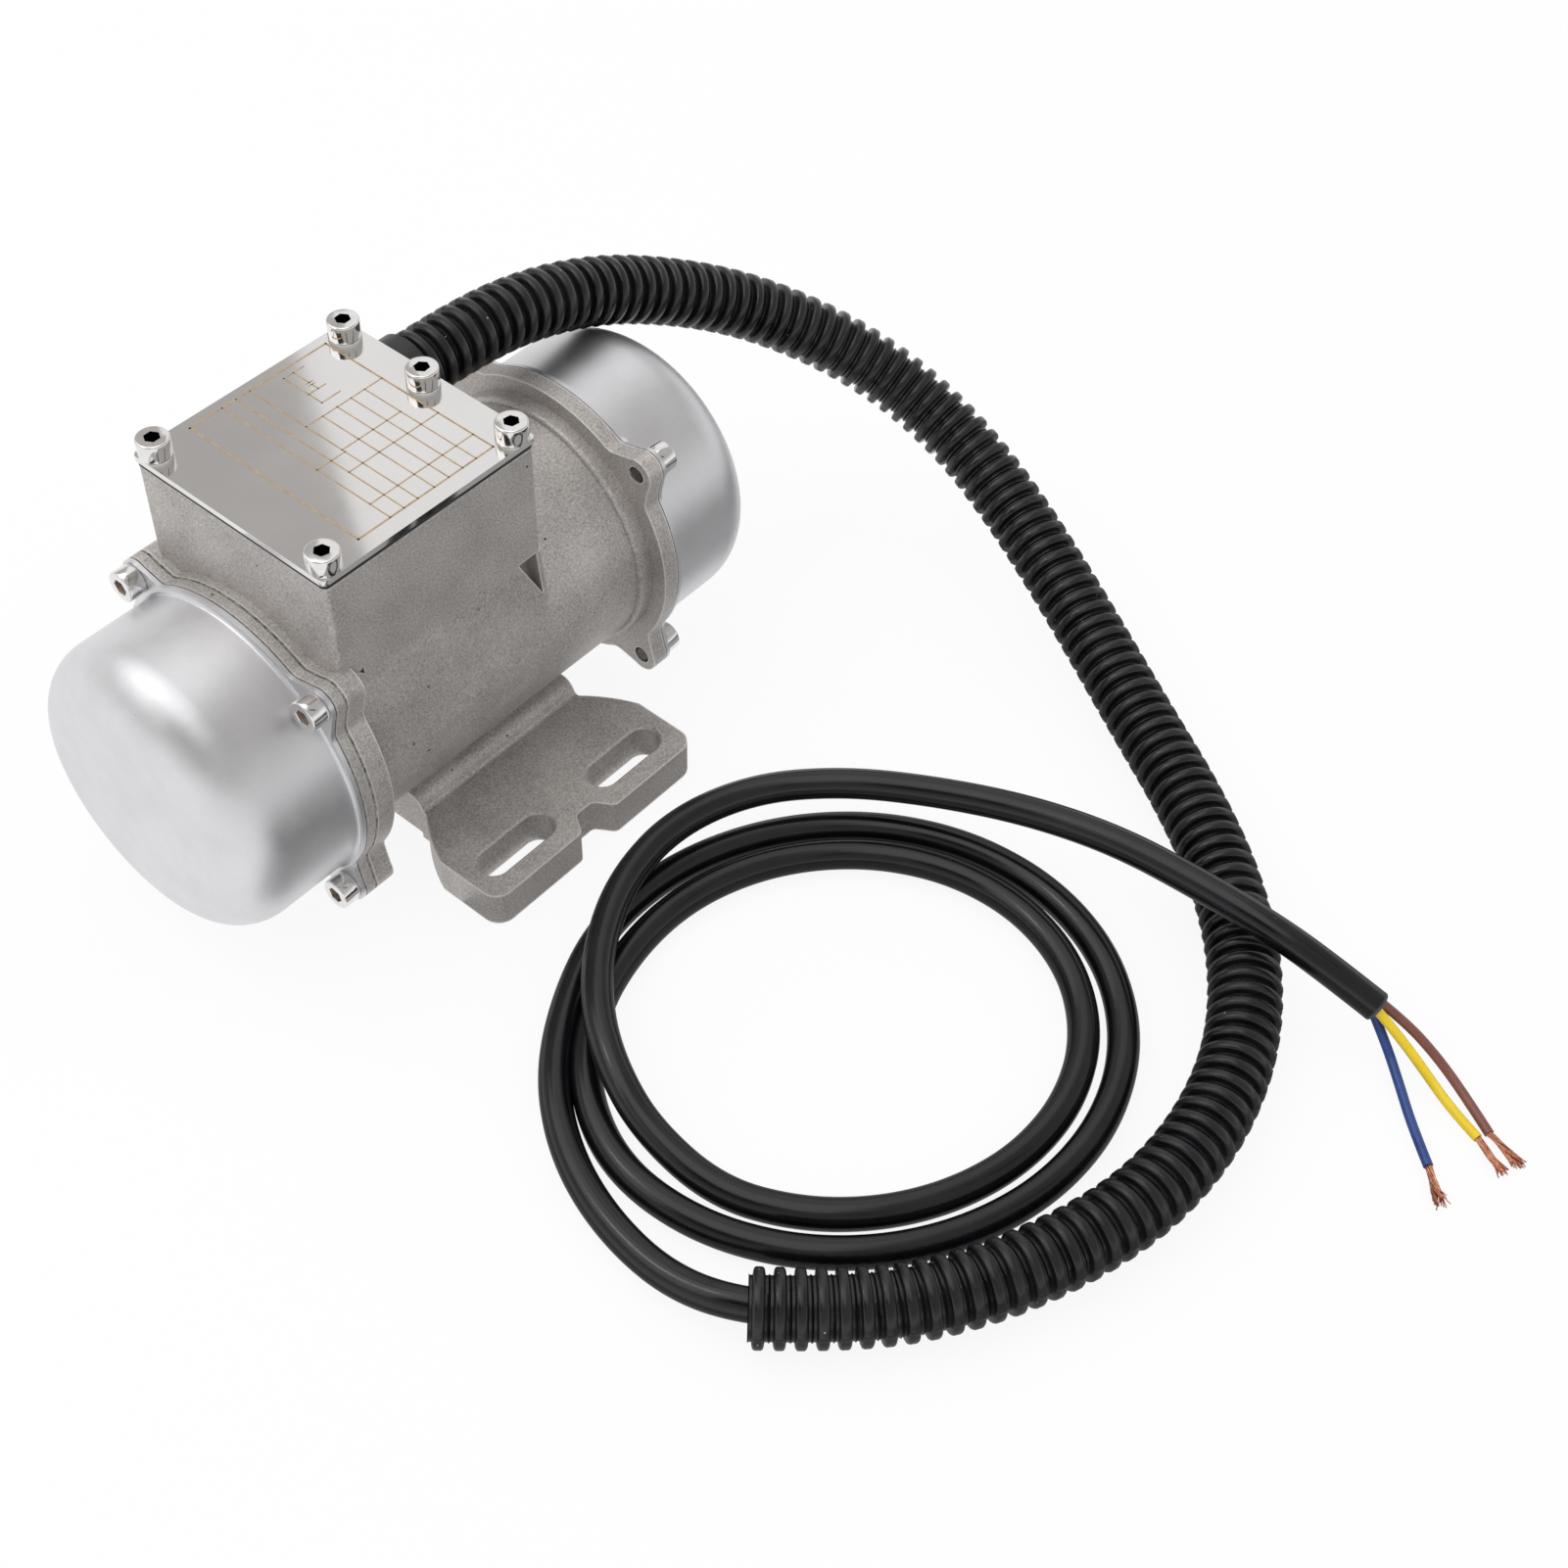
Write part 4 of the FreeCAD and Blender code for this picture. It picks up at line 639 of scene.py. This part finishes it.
# %% [markdown]
# ### The stripped end
#
# The sheath is cut square, and the three cores leave it side by side in brown, yellow and blue.
# Each is bared for about a centimetre. The bared copper is a bundle of thin strands that
# spread where they were cut. A single tapered rod would read as solid wire, so each strand is a
# thin curve of its own, and the bundle becomes one mesh at the end.

# %% Cores
core_finish = {"core_brown": brown_pvc, "core_yellow": yellow_pvc, "core_blue": blue_pvc}
for name, route in core_routes.items():
    core = spline_cord(name + "_insulation", route, CORE_R, core_finish[name])
    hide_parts(name)
    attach(core, "root")
    print(core.name, round(1000 * line_length(centre_line(core)), 1), "mm")

# %% Helpers: choose one piece, and choose faces or edges in it
def select_only(piece):
    bpy.ops.object.select_all(action="DESELECT")
    piece.select_set(True)
    bpy.context.view_layer.objects.active = piece


def pick(piece, kind, test):
    """In edit mode, selects just the faces or edges that pass a test."""
    bpy.ops.mesh.select_mode(type=kind)
    bpy.ops.mesh.select_all(action="DESELECT")
    work = bmesh.from_edit_mesh(piece.data)
    chosen = [item for item in (work.faces if kind == "FACE" else work.edges) if test(item)]
    for item in chosen:
        item.select_set(True)
    bmesh.update_edit_mesh(piece.data)
    return len(chosen)


# %% The cut end of the sheath
SHEATH_WALL = 0.9 * MM
END_DEPTH = 0.8 * MM
LIP = 0.1 * MM
LIP_DROP = 0.15 * MM
BACK_GAP = 0.05 * MM


def cup_end(name, place, heading, radius):
    """The square-cut end of a sheath: a wall round a shallow floor, grown from a disc."""
    bpy.ops.object.select_all(action="DESELECT")
    bpy.ops.mesh.primitive_circle_add(vertices=40, radius=radius - SHEATH_WALL, fill_type="NGON")
    cup = bpy.context.object
    cup.name = name
    bpy.ops.object.mode_set(mode="EDIT")
    bpy.ops.mesh.select_all(action="SELECT")
    grow = (radius - LIP) / (radius - SHEATH_WALL)
    bpy.ops.mesh.extrude_region_move(TRANSFORM_OT_translate={"value": (0, 0, END_DEPTH)})
    bpy.ops.mesh.delete(type="ONLY_FACE")
    pick(cup, "EDGE", lambda edge: all(vertex.co.z > END_DEPTH / 2 for vertex in edge.verts))
    bpy.ops.mesh.extrude_region_move()
    bpy.ops.transform.resize(value=(grow, grow, 1), center_override=(0, 0, END_DEPTH))
    bpy.ops.mesh.extrude_region_move(TRANSFORM_OT_translate={"value": (0, 0, -LIP_DROP)})
    edge = radius / (radius - LIP)
    bpy.ops.transform.resize(value=(edge, edge, 1), center_override=(0, 0, END_DEPTH))
    back = (0, 0, BACK_GAP - END_DEPTH)
    bpy.ops.mesh.extrude_region_move(TRANSFORM_OT_translate={"value": back})
    bpy.ops.object.mode_set(mode="OBJECT")
    turned = heading.to_track_quat("Z", "Y").to_matrix().to_4x4()
    cup.matrix_world = Matrix.Translation(place) @ turned
    bpy.ops.object.transform_apply(location=True, rotation=True, scale=True)
    bpy.ops.object.shade_smooth_by_angle(angle=math.radians(40))
    return cup


tail_end, tail_before = Vector(tail_route[-1]), Vector(tail_route[-2])
tail_heading = (tail_end - tail_before).normalized()
sheath_end = cup_end("sheath_cut_end", tail_end, tail_heading, CABLE_R)
sheath_end.data.materials.append(cut_sheath)
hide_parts("cable_tail")
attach(sheath_end, "root")
print(sheath_end.name, len(sheath_end.data.polygons), "faces")

# %% Copper strands
STRANDS = 34
STRAND_R = 0.16 * MM
STRAND_POINTS = 6
BARED = 12.0 * MM
ROOTED = 0.4 * MM
FLOOR_GAP = 0.0003
TWIST = 2.6
WAIST = 0.12
FLATTENED = 0.62
dice = random.Random(8)


def strand_bundle(name, end, direction, length, flare):
    """Thin strands that leave a core's end together, twist a little and spread at the tip."""
    curve = bpy.data.curves.new(name, "CURVE")
    curve.dimensions = "3D"
    across = direction.cross(Vector((0, 0, 1))).normalized()
    upward = across.cross(direction).normalized()
    for _ in range(STRANDS):
        turn = dice.uniform(0, 2 * math.pi)
        reach = math.sqrt(dice.uniform(0.02, 1)) * 0.92 * MM
        spread = dice.uniform(0.2, 1.0) ** 2 * flare
        own = length * dice.uniform(0.78, 1.0)
        twist = dice.uniform(0.7, 1.3)
        spline = curve.splines.new("NURBS")
        spline.points.add(STRAND_POINTS - 1)
        for k, point in enumerate(spline.points):
            t = k / (STRAND_POINTS - 1)
            a = turn + TWIST * twist * t
            r = reach * (1 - WAIST * math.sin(math.pi * t)) + spread * t ** 2.2
            sideways = across * math.cos(a) + upward * math.sin(a) * FLATTENED
            place = end + direction * (own * t - ROOTED) + sideways * r
            place.z = max(place.z, FLOOR_GAP)
            point.co = (*place, 1)
        spline.order_u = 3
        spline.use_endpoint_u = True
    curve.resolution_u = 3
    curve.bevel_depth = STRAND_R
    curve.bevel_resolution = 1
    curve.use_fill_caps = True
    bundle = bpy.data.objects.new(name, curve)
    bpy.context.collection.objects.link(bundle)
    curve.materials.append(bare_copper)
    select_only(bundle)
    bpy.ops.object.convert(target="MESH")
    return bundle


# The flare at the tip and the turn aside, in degrees, of each bundle.
BUNDLES = (("core_brown", 1.5 * MM, 13), ("core_yellow", 1.3 * MM, -9),
           ("core_blue", 1.9 * MM, -4))
for name, flare, aside in BUNDLES:
    last, before = Vector(core_routes[name][-1]), Vector(core_routes[name][-2])
    heading = last - before
    heading.z = 0
    heading = Matrix.Rotation(math.radians(aside), 3, "Z") @ heading.normalized()
    bundle = strand_bundle(name + "_strands", last, heading, BARED, flare)
    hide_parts("copper_ends")
    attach(bundle, "root")
    print(bundle.name, len(bundle.data.polygons), "faces")

# %% [markdown]
# ### The corrugated conduit
#
# A corrugated conduit is a thin wall folded into ribs: wide flat crests with narrow grooves
# between them. An array of rings bent along a curve would do, but the ribs would stretch where
# the curve is tight. Here each crest and groove is a ring of points set square to the line, so
# the pitch is the same everywhere, as on the real hose.

# %% Stations along the line
RIB_PITCH = 4.76 * MM
# One rib: how far along the pitch each ring stands, and its radius in mm.
RIB = [(0.00, 7.75), (0.06, 7.4), (0.18, 7.4), (0.215, 8.5), (0.265, 9.05), (0.35, 9.3),
       (0.65, 9.3), (0.735, 9.05), (0.785, 8.5), (0.82, 7.4), (0.94, 7.4)]
BORE_R = 7.0 * MM
CREST_FROM_R = 8 * MM
SEAM_PROUD = 0.14 * MM
SEAM = 2
SEAM_AT = 60
TURN = sorted(set(range(0, 360, 10)) | {SEAM, 180 - SEAM, 180 + SEAM, 360 - SEAM})
ROUND = len(TURN)


def stations(line, distances):
    """The point and heading at each distance along a line of points."""
    found, walked, k = [], 0.0, 0
    lengths = [(b - a).length for a, b in zip(line, line[1:])]
    for distance in distances:
        while k < len(lengths) - 1 and walked + lengths[k] < distance:
            walked += lengths[k]
            k += 1
        along = (distance - walked) / lengths[k]
        point = line[k].lerp(line[k + 1], along)
        before = (line[k] - line[k - 1]) if k else (line[1] - line[0])
        after = line[k + 1] - line[k]
        heading = before.normalized() * (1 - along) + after.normalized() * (1 + along)
        found.append((point, heading.normalized()))
    return found


def tube_mesh(name, rings):
    """Joins rings, each a list of points, into one closed band of faces."""
    points = [point for ring in rings for point in ring]
    faces = []
    for i in range(len(rings)):
        j = (i + 1) % len(rings)
        for k in range(ROUND):
            n = (k + 1) % ROUND
            faces.append((i * ROUND + k, i * ROUND + n, j * ROUND + n, j * ROUND + k))
    mesh = bpy.data.meshes.new(name)
    mesh.from_pydata(points, [], faces)
    mesh.update()
    return mesh


# %% The ribbed tube
route_curve = spline_cord("conduit_route", conduit_route, CONDUIT_R, conduit_black)
conduit_line = centre_line(route_curve)
bpy.data.objects.remove(route_curve)
conduit_length = line_length(conduit_line)
rib_count = round(conduit_length / RIB_PITCH)
pitch = conduit_length / rib_count
outside = [((k + share) * pitch, radius * MM)
           for k in range(rib_count) for share, radius in RIB]
outside.append((conduit_length, RIB[0][1] * MM))
centres = stations(conduit_line, [distance for distance, _ in outside])
frames = []
sideways = Vector((0, 0, 1)).cross(centres[0][1]).normalized()
for point, heading in centres:
    sideways = (sideways - heading * sideways.dot(heading)).normalized()
    frames.append((point, sideways, heading.cross(sideways)))


def ring(frame_at, radius, split=0.0):
    """One ring of points; the mould's split line stands proud by a little at both sides."""
    point, side, up = frame_at
    made = []
    for degrees in TURN:
        a = math.radians(degrees + SEAM_AT)
        r = radius + (split if degrees % 180 == 0 else 0.0)
        made.append(point + side * (r * math.cos(a)) + up * (r * math.sin(a)))
    return made


rings = [ring(frames[i], radius, SEAM_PROUD if radius > CREST_FROM_R else 0.0)
         for i, (_, radius) in enumerate(outside)]
rings += [ring(frames[min(k * len(RIB), len(frames) - 1)], BORE_R)
          for k in range(rib_count, -1, -1)]
hose = bpy.data.objects.new("corrugated_hose", tube_mesh("corrugated_hose", rings))
bpy.context.collection.objects.link(hose)
hose.data.materials.append(conduit_black)
select_only(hose)
bpy.ops.object.mode_set(mode="EDIT")
bpy.ops.mesh.select_all(action="SELECT")
bpy.ops.mesh.normals_make_consistent(inside=False)
bpy.ops.object.mode_set(mode="OBJECT")
bpy.ops.object.shade_smooth_by_angle(angle=math.radians(50))
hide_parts("conduit")
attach(hose, "root")
print(rib_count, "ribs on", round(conduit_length, 3), "m,", len(hose.data.polygons), "faces")

# %% [markdown]
# ## The castings
#
# The housing and the end shield are investment castings. Their faces are flat and a little
# rough, and their corners are only just round, so light runs along each as a thin line. The
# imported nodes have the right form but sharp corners. A copy is merged, its flat faces are
# joined, and a Bevel modifier rounds every corner that turns by more than 32 degrees. The rim of
# the terminal box was dressed by hand after casting, so it gets a wider bevel of its own first.

# %% Merged copies with rounded corners
def merged_copy(node, name):
    """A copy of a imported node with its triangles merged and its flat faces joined."""
    piece = bpy.data.objects.new(name, nodes[node].data.copy())
    bpy.context.collection.objects.link(piece)
    select_only(piece)
    bpy.ops.object.mode_set(mode="EDIT")
    bpy.ops.mesh.select_all(action="SELECT")
    bpy.ops.mesh.remove_doubles(threshold=2e-6)
    bpy.ops.mesh.dissolve_limited(angle_limit=math.radians(0.5), use_dissolve_boundaries=False)
    bpy.ops.object.mode_set(mode="OBJECT")
    return piece


def round_corners(piece, node, width_mm, segments=2, angle=32, smooth=40):
    """Bevels what turns sharply, keeps flat faces flat, and lets the piece stand for the node."""
    select_only(piece)
    bevel = piece.modifiers.new("soft corners", "BEVEL")
    bevel.width = width_mm * MM
    bevel.segments = segments
    bevel.limit_method = "ANGLE"
    bevel.angle_limit = math.radians(angle)
    bevel.use_clamp_overlap = True
    bpy.ops.object.modifier_apply(modifier=bevel.name)
    bpy.ops.object.shade_smooth_by_angle(angle=math.radians(smooth))
    even = piece.modifiers.new("even shading", "WEIGHTED_NORMAL")
    even.keep_sharp = True
    bpy.ops.object.modifier_apply(modifier=even.name)
    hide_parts(node)
    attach(piece, "root")
    print(piece.name, len(piece.data.polygons), "faces")


# %% The housing, with the dressed rim of its terminal box
housing = merged_copy("motor_housing", "housing_casting")
RIM_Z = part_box("motor_housing")[1].z
rim = [vertex.co for vertex in housing.data.vertices if vertex.co.z > RIM_Z - 0.01 * MM]
rim_low = Vector((min(co.x for co in rim), min(co.y for co in rim)))
rim_high = Vector((max(co.x for co in rim), max(co.y for co in rim)))
CORNER = 2.05 * MM
RIM_BEVEL = 0.5 * MM


def on_rim(edge):
    """Both ends lie on the outer line of the box's top."""
    return all(vertex.co.z > RIM_Z - 0.01 * MM and (
        min(vertex.co.x - rim_low.x, rim_high.x - vertex.co.x) < CORNER
        or min(vertex.co.y - rim_low.y, rim_high.y - vertex.co.y) < CORNER
    ) for vertex in edge.verts)


select_only(housing)
bpy.ops.object.mode_set(mode="EDIT")
print("rim edges:", pick(housing, "EDGE", on_rim))
bpy.ops.mesh.bevel(offset=RIM_BEVEL, segments=2, affect="EDGES")
bpy.ops.object.mode_set(mode="OBJECT")
round_corners(housing, "motor_housing", 0.3)

# %% The lid's gasket, squeezed out until it is flush with the box
gasket = merged_copy("lid_gasket", "lid_gasket_squeezed")
gasket_low, gasket_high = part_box("lid_gasket")
NEAR = 0.7 * MM
UPRIGHT_BELOW = 0.3


def on_outside(face):
    """The faces that stand upright along the gasket's outer line."""
    middle = face.calc_center_median()
    return abs(face.normal.z) < UPRIGHT_BELOW and min(
        middle.x - gasket_low.x, gasket_high.x - middle.x,
        middle.y - gasket_low.y, gasket_high.y - middle.y) < NEAR


select_only(gasket)
bpy.ops.object.mode_set(mode="EDIT")
print("gasket sides:", pick(gasket, "FACE", on_outside))
flush = ((rim_high.x - rim_low.x) / (gasket_high.x - gasket_low.x),
         (rim_high.y - rim_low.y) / (gasket_high.y - gasket_low.y), 1)
bpy.ops.transform.resize(value=flush, center_override=(gasket_low + gasket_high) / 2)
bpy.ops.object.mode_set(mode="OBJECT")
round_corners(gasket, "lid_gasket", 0.2)

# %% The end shield and the two drawn caps
round_corners(merged_copy("front_end_shield", "end_shield_casting"), "front_end_shield", 0.3)
for node in ("front_cap", "rear_cap"):
    round_corners(merged_copy(node, node + "_drawn"), node, 0.2)

# %% [markdown]
# ## The terminal box lid
#
# The lid is a sheared plate, polished like a mirror, with a table of ratings etched into it in a
# gold-brown tone. Only the ruled lines and a plain wiring sketch are made here; the fields stay
# empty. An image would do for such marks, but would blur close up. Thin strips of real geometry
# stay crisp, so each line is a plane, stretched to its place, and one Solidify modifier gives
# them all a hair's thickness.

# %% The plate
round_corners(merged_copy("terminal_box_lid", "lid_plate"), "terminal_box_lid", 0.25)
lid_low, lid_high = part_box("terminal_box_lid")
LID_X = (lid_low.x + lid_high.x) / 2
LID_Y = (lid_low.y + lid_high.y) / 2

# %% Ruled lines and the wiring sketch
LINE = 0.4 * MM
bpy.ops.object.select_all(action="DESELECT")
bpy.ops.mesh.primitive_plane_add(size=1, location=(0, 0, 0))
etching = bpy.context.object
etching.name = "lid_etching"
bpy.ops.object.mode_set(mode="EDIT")
bpy.ops.mesh.delete(type="VERT")


def rule(x0, y0, x1, y1, width=LINE):
    """A straight etched line between two places, in mm from the lid's middle."""
    middle = (LID_X + (x0 + x1) / 2 * MM, LID_Y + (y0 + y1) / 2 * MM, lid_high.z)
    bpy.ops.mesh.primitive_plane_add(size=1, location=middle)
    stretch = (abs(x1 - x0) * MM + width, abs(y1 - y0) * MM + width, 1)
    bpy.ops.transform.resize(value=stretch, center_override=middle)


def ring_mark(x, y, radius_mm):
    """An etched circle, made by drawing a loop of edges inward."""
    middle = (LID_X + x * MM, LID_Y + y * MM, lid_high.z)
    bpy.ops.mesh.primitive_circle_add(vertices=28, radius=radius_mm * MM + LINE / 2,
                                      location=middle)
    bpy.ops.mesh.extrude_region_move()
    inner = (radius_mm * MM - LINE / 2) / (radius_mm * MM + LINE / 2)
    bpy.ops.transform.resize(value=(inner, inner, 1), center_override=middle)


LEFT, RIGHT, TOP, BOTTOM = 30.2, -28.4, 24.6, -18.9
BORDER = 0.55 * MM
TABLE_LEFT = 10.0
BORDER_LINES = ((TOP, LEFT, TOP, RIGHT), (BOTTOM, LEFT, BOTTOM, RIGHT),
                (TOP, LEFT, BOTTOM, LEFT), (TOP, RIGHT, BOTTOM, RIGHT))
COLUMN_LINES = ((TOP, TABLE_LEFT, -0.1, TABLE_LEFT), (18.9, -2.6, -0.1, -2.6),
                (TOP, -9.7, -4.5, -9.7), (TOP, -21.6, -8.9, -21.6), (-0.1, -3.6, -8.9, -3.6))
SKETCH_LINES = ((8.5, 13.9, 8.5, 27.6), (8.5, 13.9, 14.4, 13.9), (8.5, 18.6, 14.0, 18.6),
                (8.5, 27.6, 15.0, 27.6), (11.6, 18.6, 11.6, 20.9), (10.7, 20.9, 12.5, 20.9),
                (10.7, 21.9, 12.5, 21.9), (11.6, 21.9, 11.6, 27.6))
SKETCH_RINGS = ((4.6, 18.6, 3.6), (15.3, 13.9, 0.9), (15.0, 18.6, 0.9), (16.0, 27.6, 0.9))
for line in BORDER_LINES:
    rule(*line, BORDER)
for row in (18.9, 14.4, 9.9, 5.2):
    rule(row, TABLE_LEFT, row, RIGHT)
for row in (-0.1, -4.5, -8.9):
    rule(row, LEFT, row, RIGHT)
for line in COLUMN_LINES + SKETCH_LINES:
    rule(*line)
for mark in SKETCH_RINGS:
    ring_mark(*mark)
bpy.ops.mesh.select_all(action="SELECT")
bpy.ops.mesh.normals_make_consistent(inside=False)
bpy.ops.object.mode_set(mode="OBJECT")
for polygon in etching.data.polygons:
    if polygon.normal.z < 0:
        polygon.flip()
INK = 0.02 * MM
ink = etching.modifiers.new("ink depth", "SOLIDIFY")
ink.thickness = INK
ink.offset = 1.0
bpy.ops.object.modifier_apply(modifier=ink.name)
etching.data.materials.append(etched_gold)
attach(etching, "root")
print("lid etching", len(etching.data.polygons), "faces")

# %% [markdown]
# ## The socket screws
#
# Thirteen M5 socket screws hold the lid and the two caps. The head is a short polished cylinder
# with a rolled top edge and a hexagon pressed into it. One screw is modelled for each set and
# copied to its places. The hexagon is a loop of six edges bridged to the round rim, which keeps
# the top flat; a boolean cut would do the same but leaves a messier edge.

# %% Where the screws stand
HEAD_H = 5.0 * MM
HEX_ACROSS = 4.0 * MM
HEX_DEPTH = 2.8 * MM
HEX_EDGE = 0.16 * MM
HEX_LIP = 0.2 * MM
SHANK_R = 2.45 * MM
HEAD_ROUND = 0.5 * MM
SEAT_ROUND = 0.3 * MM
TIP = 0.6 * MM
EPS = 0.01 * MM


def solids_of(node):
    """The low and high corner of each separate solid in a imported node."""
    merged_copy(node, node + "_count")
    bpy.ops.object.mode_set(mode="EDIT")
    bpy.ops.mesh.separate(type="LOOSE")
    bpy.ops.object.mode_set(mode="OBJECT")
    boxes = []
    for part in list(bpy.context.selected_objects):
        points = [vertex.co for vertex in part.data.vertices]
        boxes.append((Vector([min(co[k] for co in points) for k in range(3)]),
                      Vector([max(co[k] for co in points) for k in range(3)])))
        bpy.data.objects.remove(part)
    return boxes


SCREW_NODES = ("lid_screws", "front_cap_screws", "rear_cap_screws")
screw_places = {node: solids_of(node) for node in SCREW_NODES}
print({node: len(boxes) for node, boxes in screw_places.items()})


# %% One screw
def socket_screw(name, head_r, length):
    """A socket screw along +Z, with the underside of its head at z = 0."""
    bpy.ops.object.select_all(action="DESELECT")
    bpy.ops.mesh.primitive_cylinder_add(vertices=48, radius=head_r, depth=HEAD_H,
                                        location=(0, 0, HEAD_H / 2))
    screw = bpy.context.object
    screw.name = name
    bpy.ops.object.transform_apply(location=True, rotation=True, scale=True)
    bpy.ops.object.mode_set(mode="EDIT")
    pick(screw, "EDGE", lambda edge: all(vertex.co.z > HEAD_H - EPS for vertex in edge.verts))
    bpy.ops.mesh.bevel(offset=HEAD_ROUND, segments=4, affect="EDGES")
    pick(screw, "EDGE", lambda edge: all(vertex.co.z < EPS for vertex in edge.verts))
    bpy.ops.mesh.bevel(offset=SEAT_ROUND, segments=2, affect="EDGES")
    pick(screw, "FACE", lambda face: (
        face.normal.z > 0.99 and face.calc_center_median().z > HEAD_H - EPS))
    bpy.ops.mesh.delete(type="ONLY_FACE")
    hex_r = HEX_ACROSS / 2 / math.cos(math.radians(30))
    bpy.ops.mesh.primitive_circle_add(vertices=6, radius=hex_r, location=(0, 0, HEAD_H))
    pick(screw, "EDGE", lambda edge: len(edge.link_faces) < 2)
    bpy.ops.mesh.bridge_edge_loops()
    pick(screw, "EDGE", lambda edge: len(edge.link_faces) < 2)
    bpy.ops.mesh.extrude_region_move(TRANSFORM_OT_translate={"value": (0, 0, -HEX_DEPTH)})
    bpy.ops.mesh.edge_face_add()
    pick(screw, "EDGE", lambda edge: all(
        vertex.co.z > HEAD_H - EPS and vertex.co.xy.length < hex_r + EPS for vertex in edge.verts))
    bpy.ops.mesh.bevel(offset=HEX_EDGE, segments=1, affect="EDGES")
    pick(screw, "FACE", lambda face: face.normal.z < -0.99 and face.calc_center_median().z < EPS)
    bpy.ops.mesh.inset(thickness=head_r - SEAT_ROUND - SHANK_R)
    bpy.ops.mesh.extrude_region_move(TRANSFORM_OT_translate={"value": (0, 0, HEAD_H - length)})
    pick(screw, "EDGE", lambda edge: all(
        vertex.co.z < HEAD_H - length + EPS for vertex in edge.verts))
    bpy.ops.mesh.bevel(offset=TIP, segments=1, affect="EDGES")
    bpy.ops.mesh.select_all(action="SELECT")
    bpy.ops.mesh.normals_make_consistent(inside=False)
    bpy.ops.object.mode_set(mode="OBJECT")
    # The hex recess and the shank take the darker finishes, which paint the shade inside the
    # socket and the tapped hole.
    for finish in (screw_steel, socket_shade_steel, thread_shade_steel):
        screw.data.materials.append(finish)
    for polygon in screw.data.polygons:
        if polygon.center.z < -EPS:
            polygon.material_index = 2
        elif polygon.center.xy.length < hex_r and polygon.center.z < HEAD_H - HEX_LIP:
            polygon.material_index = 1
    bpy.ops.object.shade_smooth_by_angle(angle=math.radians(35))
    return screw


# %% Thirteen screws in their places
turns = random.Random(3)
QUARTER = math.radians(90)
UPRIGHT = {"lid_screws": Matrix.Identity(4), "front_cap_screws": Matrix.Rotation(-QUARTER, 4, "Y"),
           "rear_cap_screws": Matrix.Rotation(QUARTER, 4, "Y")}
for node, boxes in screw_places.items():
    axis = UPRIGHT[node] @ Vector((0, 0, 1))
    along = 0 if abs(axis.x) > 0.5 else 2
    across = 2 - along
    low, high = boxes[0]
    head_r = (high[across] - low[across]) / 2
    model = socket_screw(node + "_model", head_r, high[along] - low[along])
    for number, (low, high) in enumerate(boxes, 1):
        seat = (low + high) / 2 + axis * ((high - low)[along] / 2 - HEAD_H)
        screw = bpy.data.objects.new(f"{node}_{number}", model.data.copy())
        bpy.context.collection.objects.link(screw)
        own_turn = Matrix.Rotation(turns.uniform(0, 1), 4, "Z")
        screw.matrix_world = Matrix.Translation(seat) @ UPRIGHT[node] @ own_turn
        select_only(screw)
        bpy.ops.object.transform_apply(location=True, rotation=True, scale=True)
        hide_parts(node)
        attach(screw, "root")
    bpy.data.objects.remove(model)
    print(node, len(boxes), "screws of", len(screw.data.polygons), "faces")

# %% Print the size of the dressed model
low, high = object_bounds()
print("size in mm:", [round(1000 * side, 1) for side in high - low])
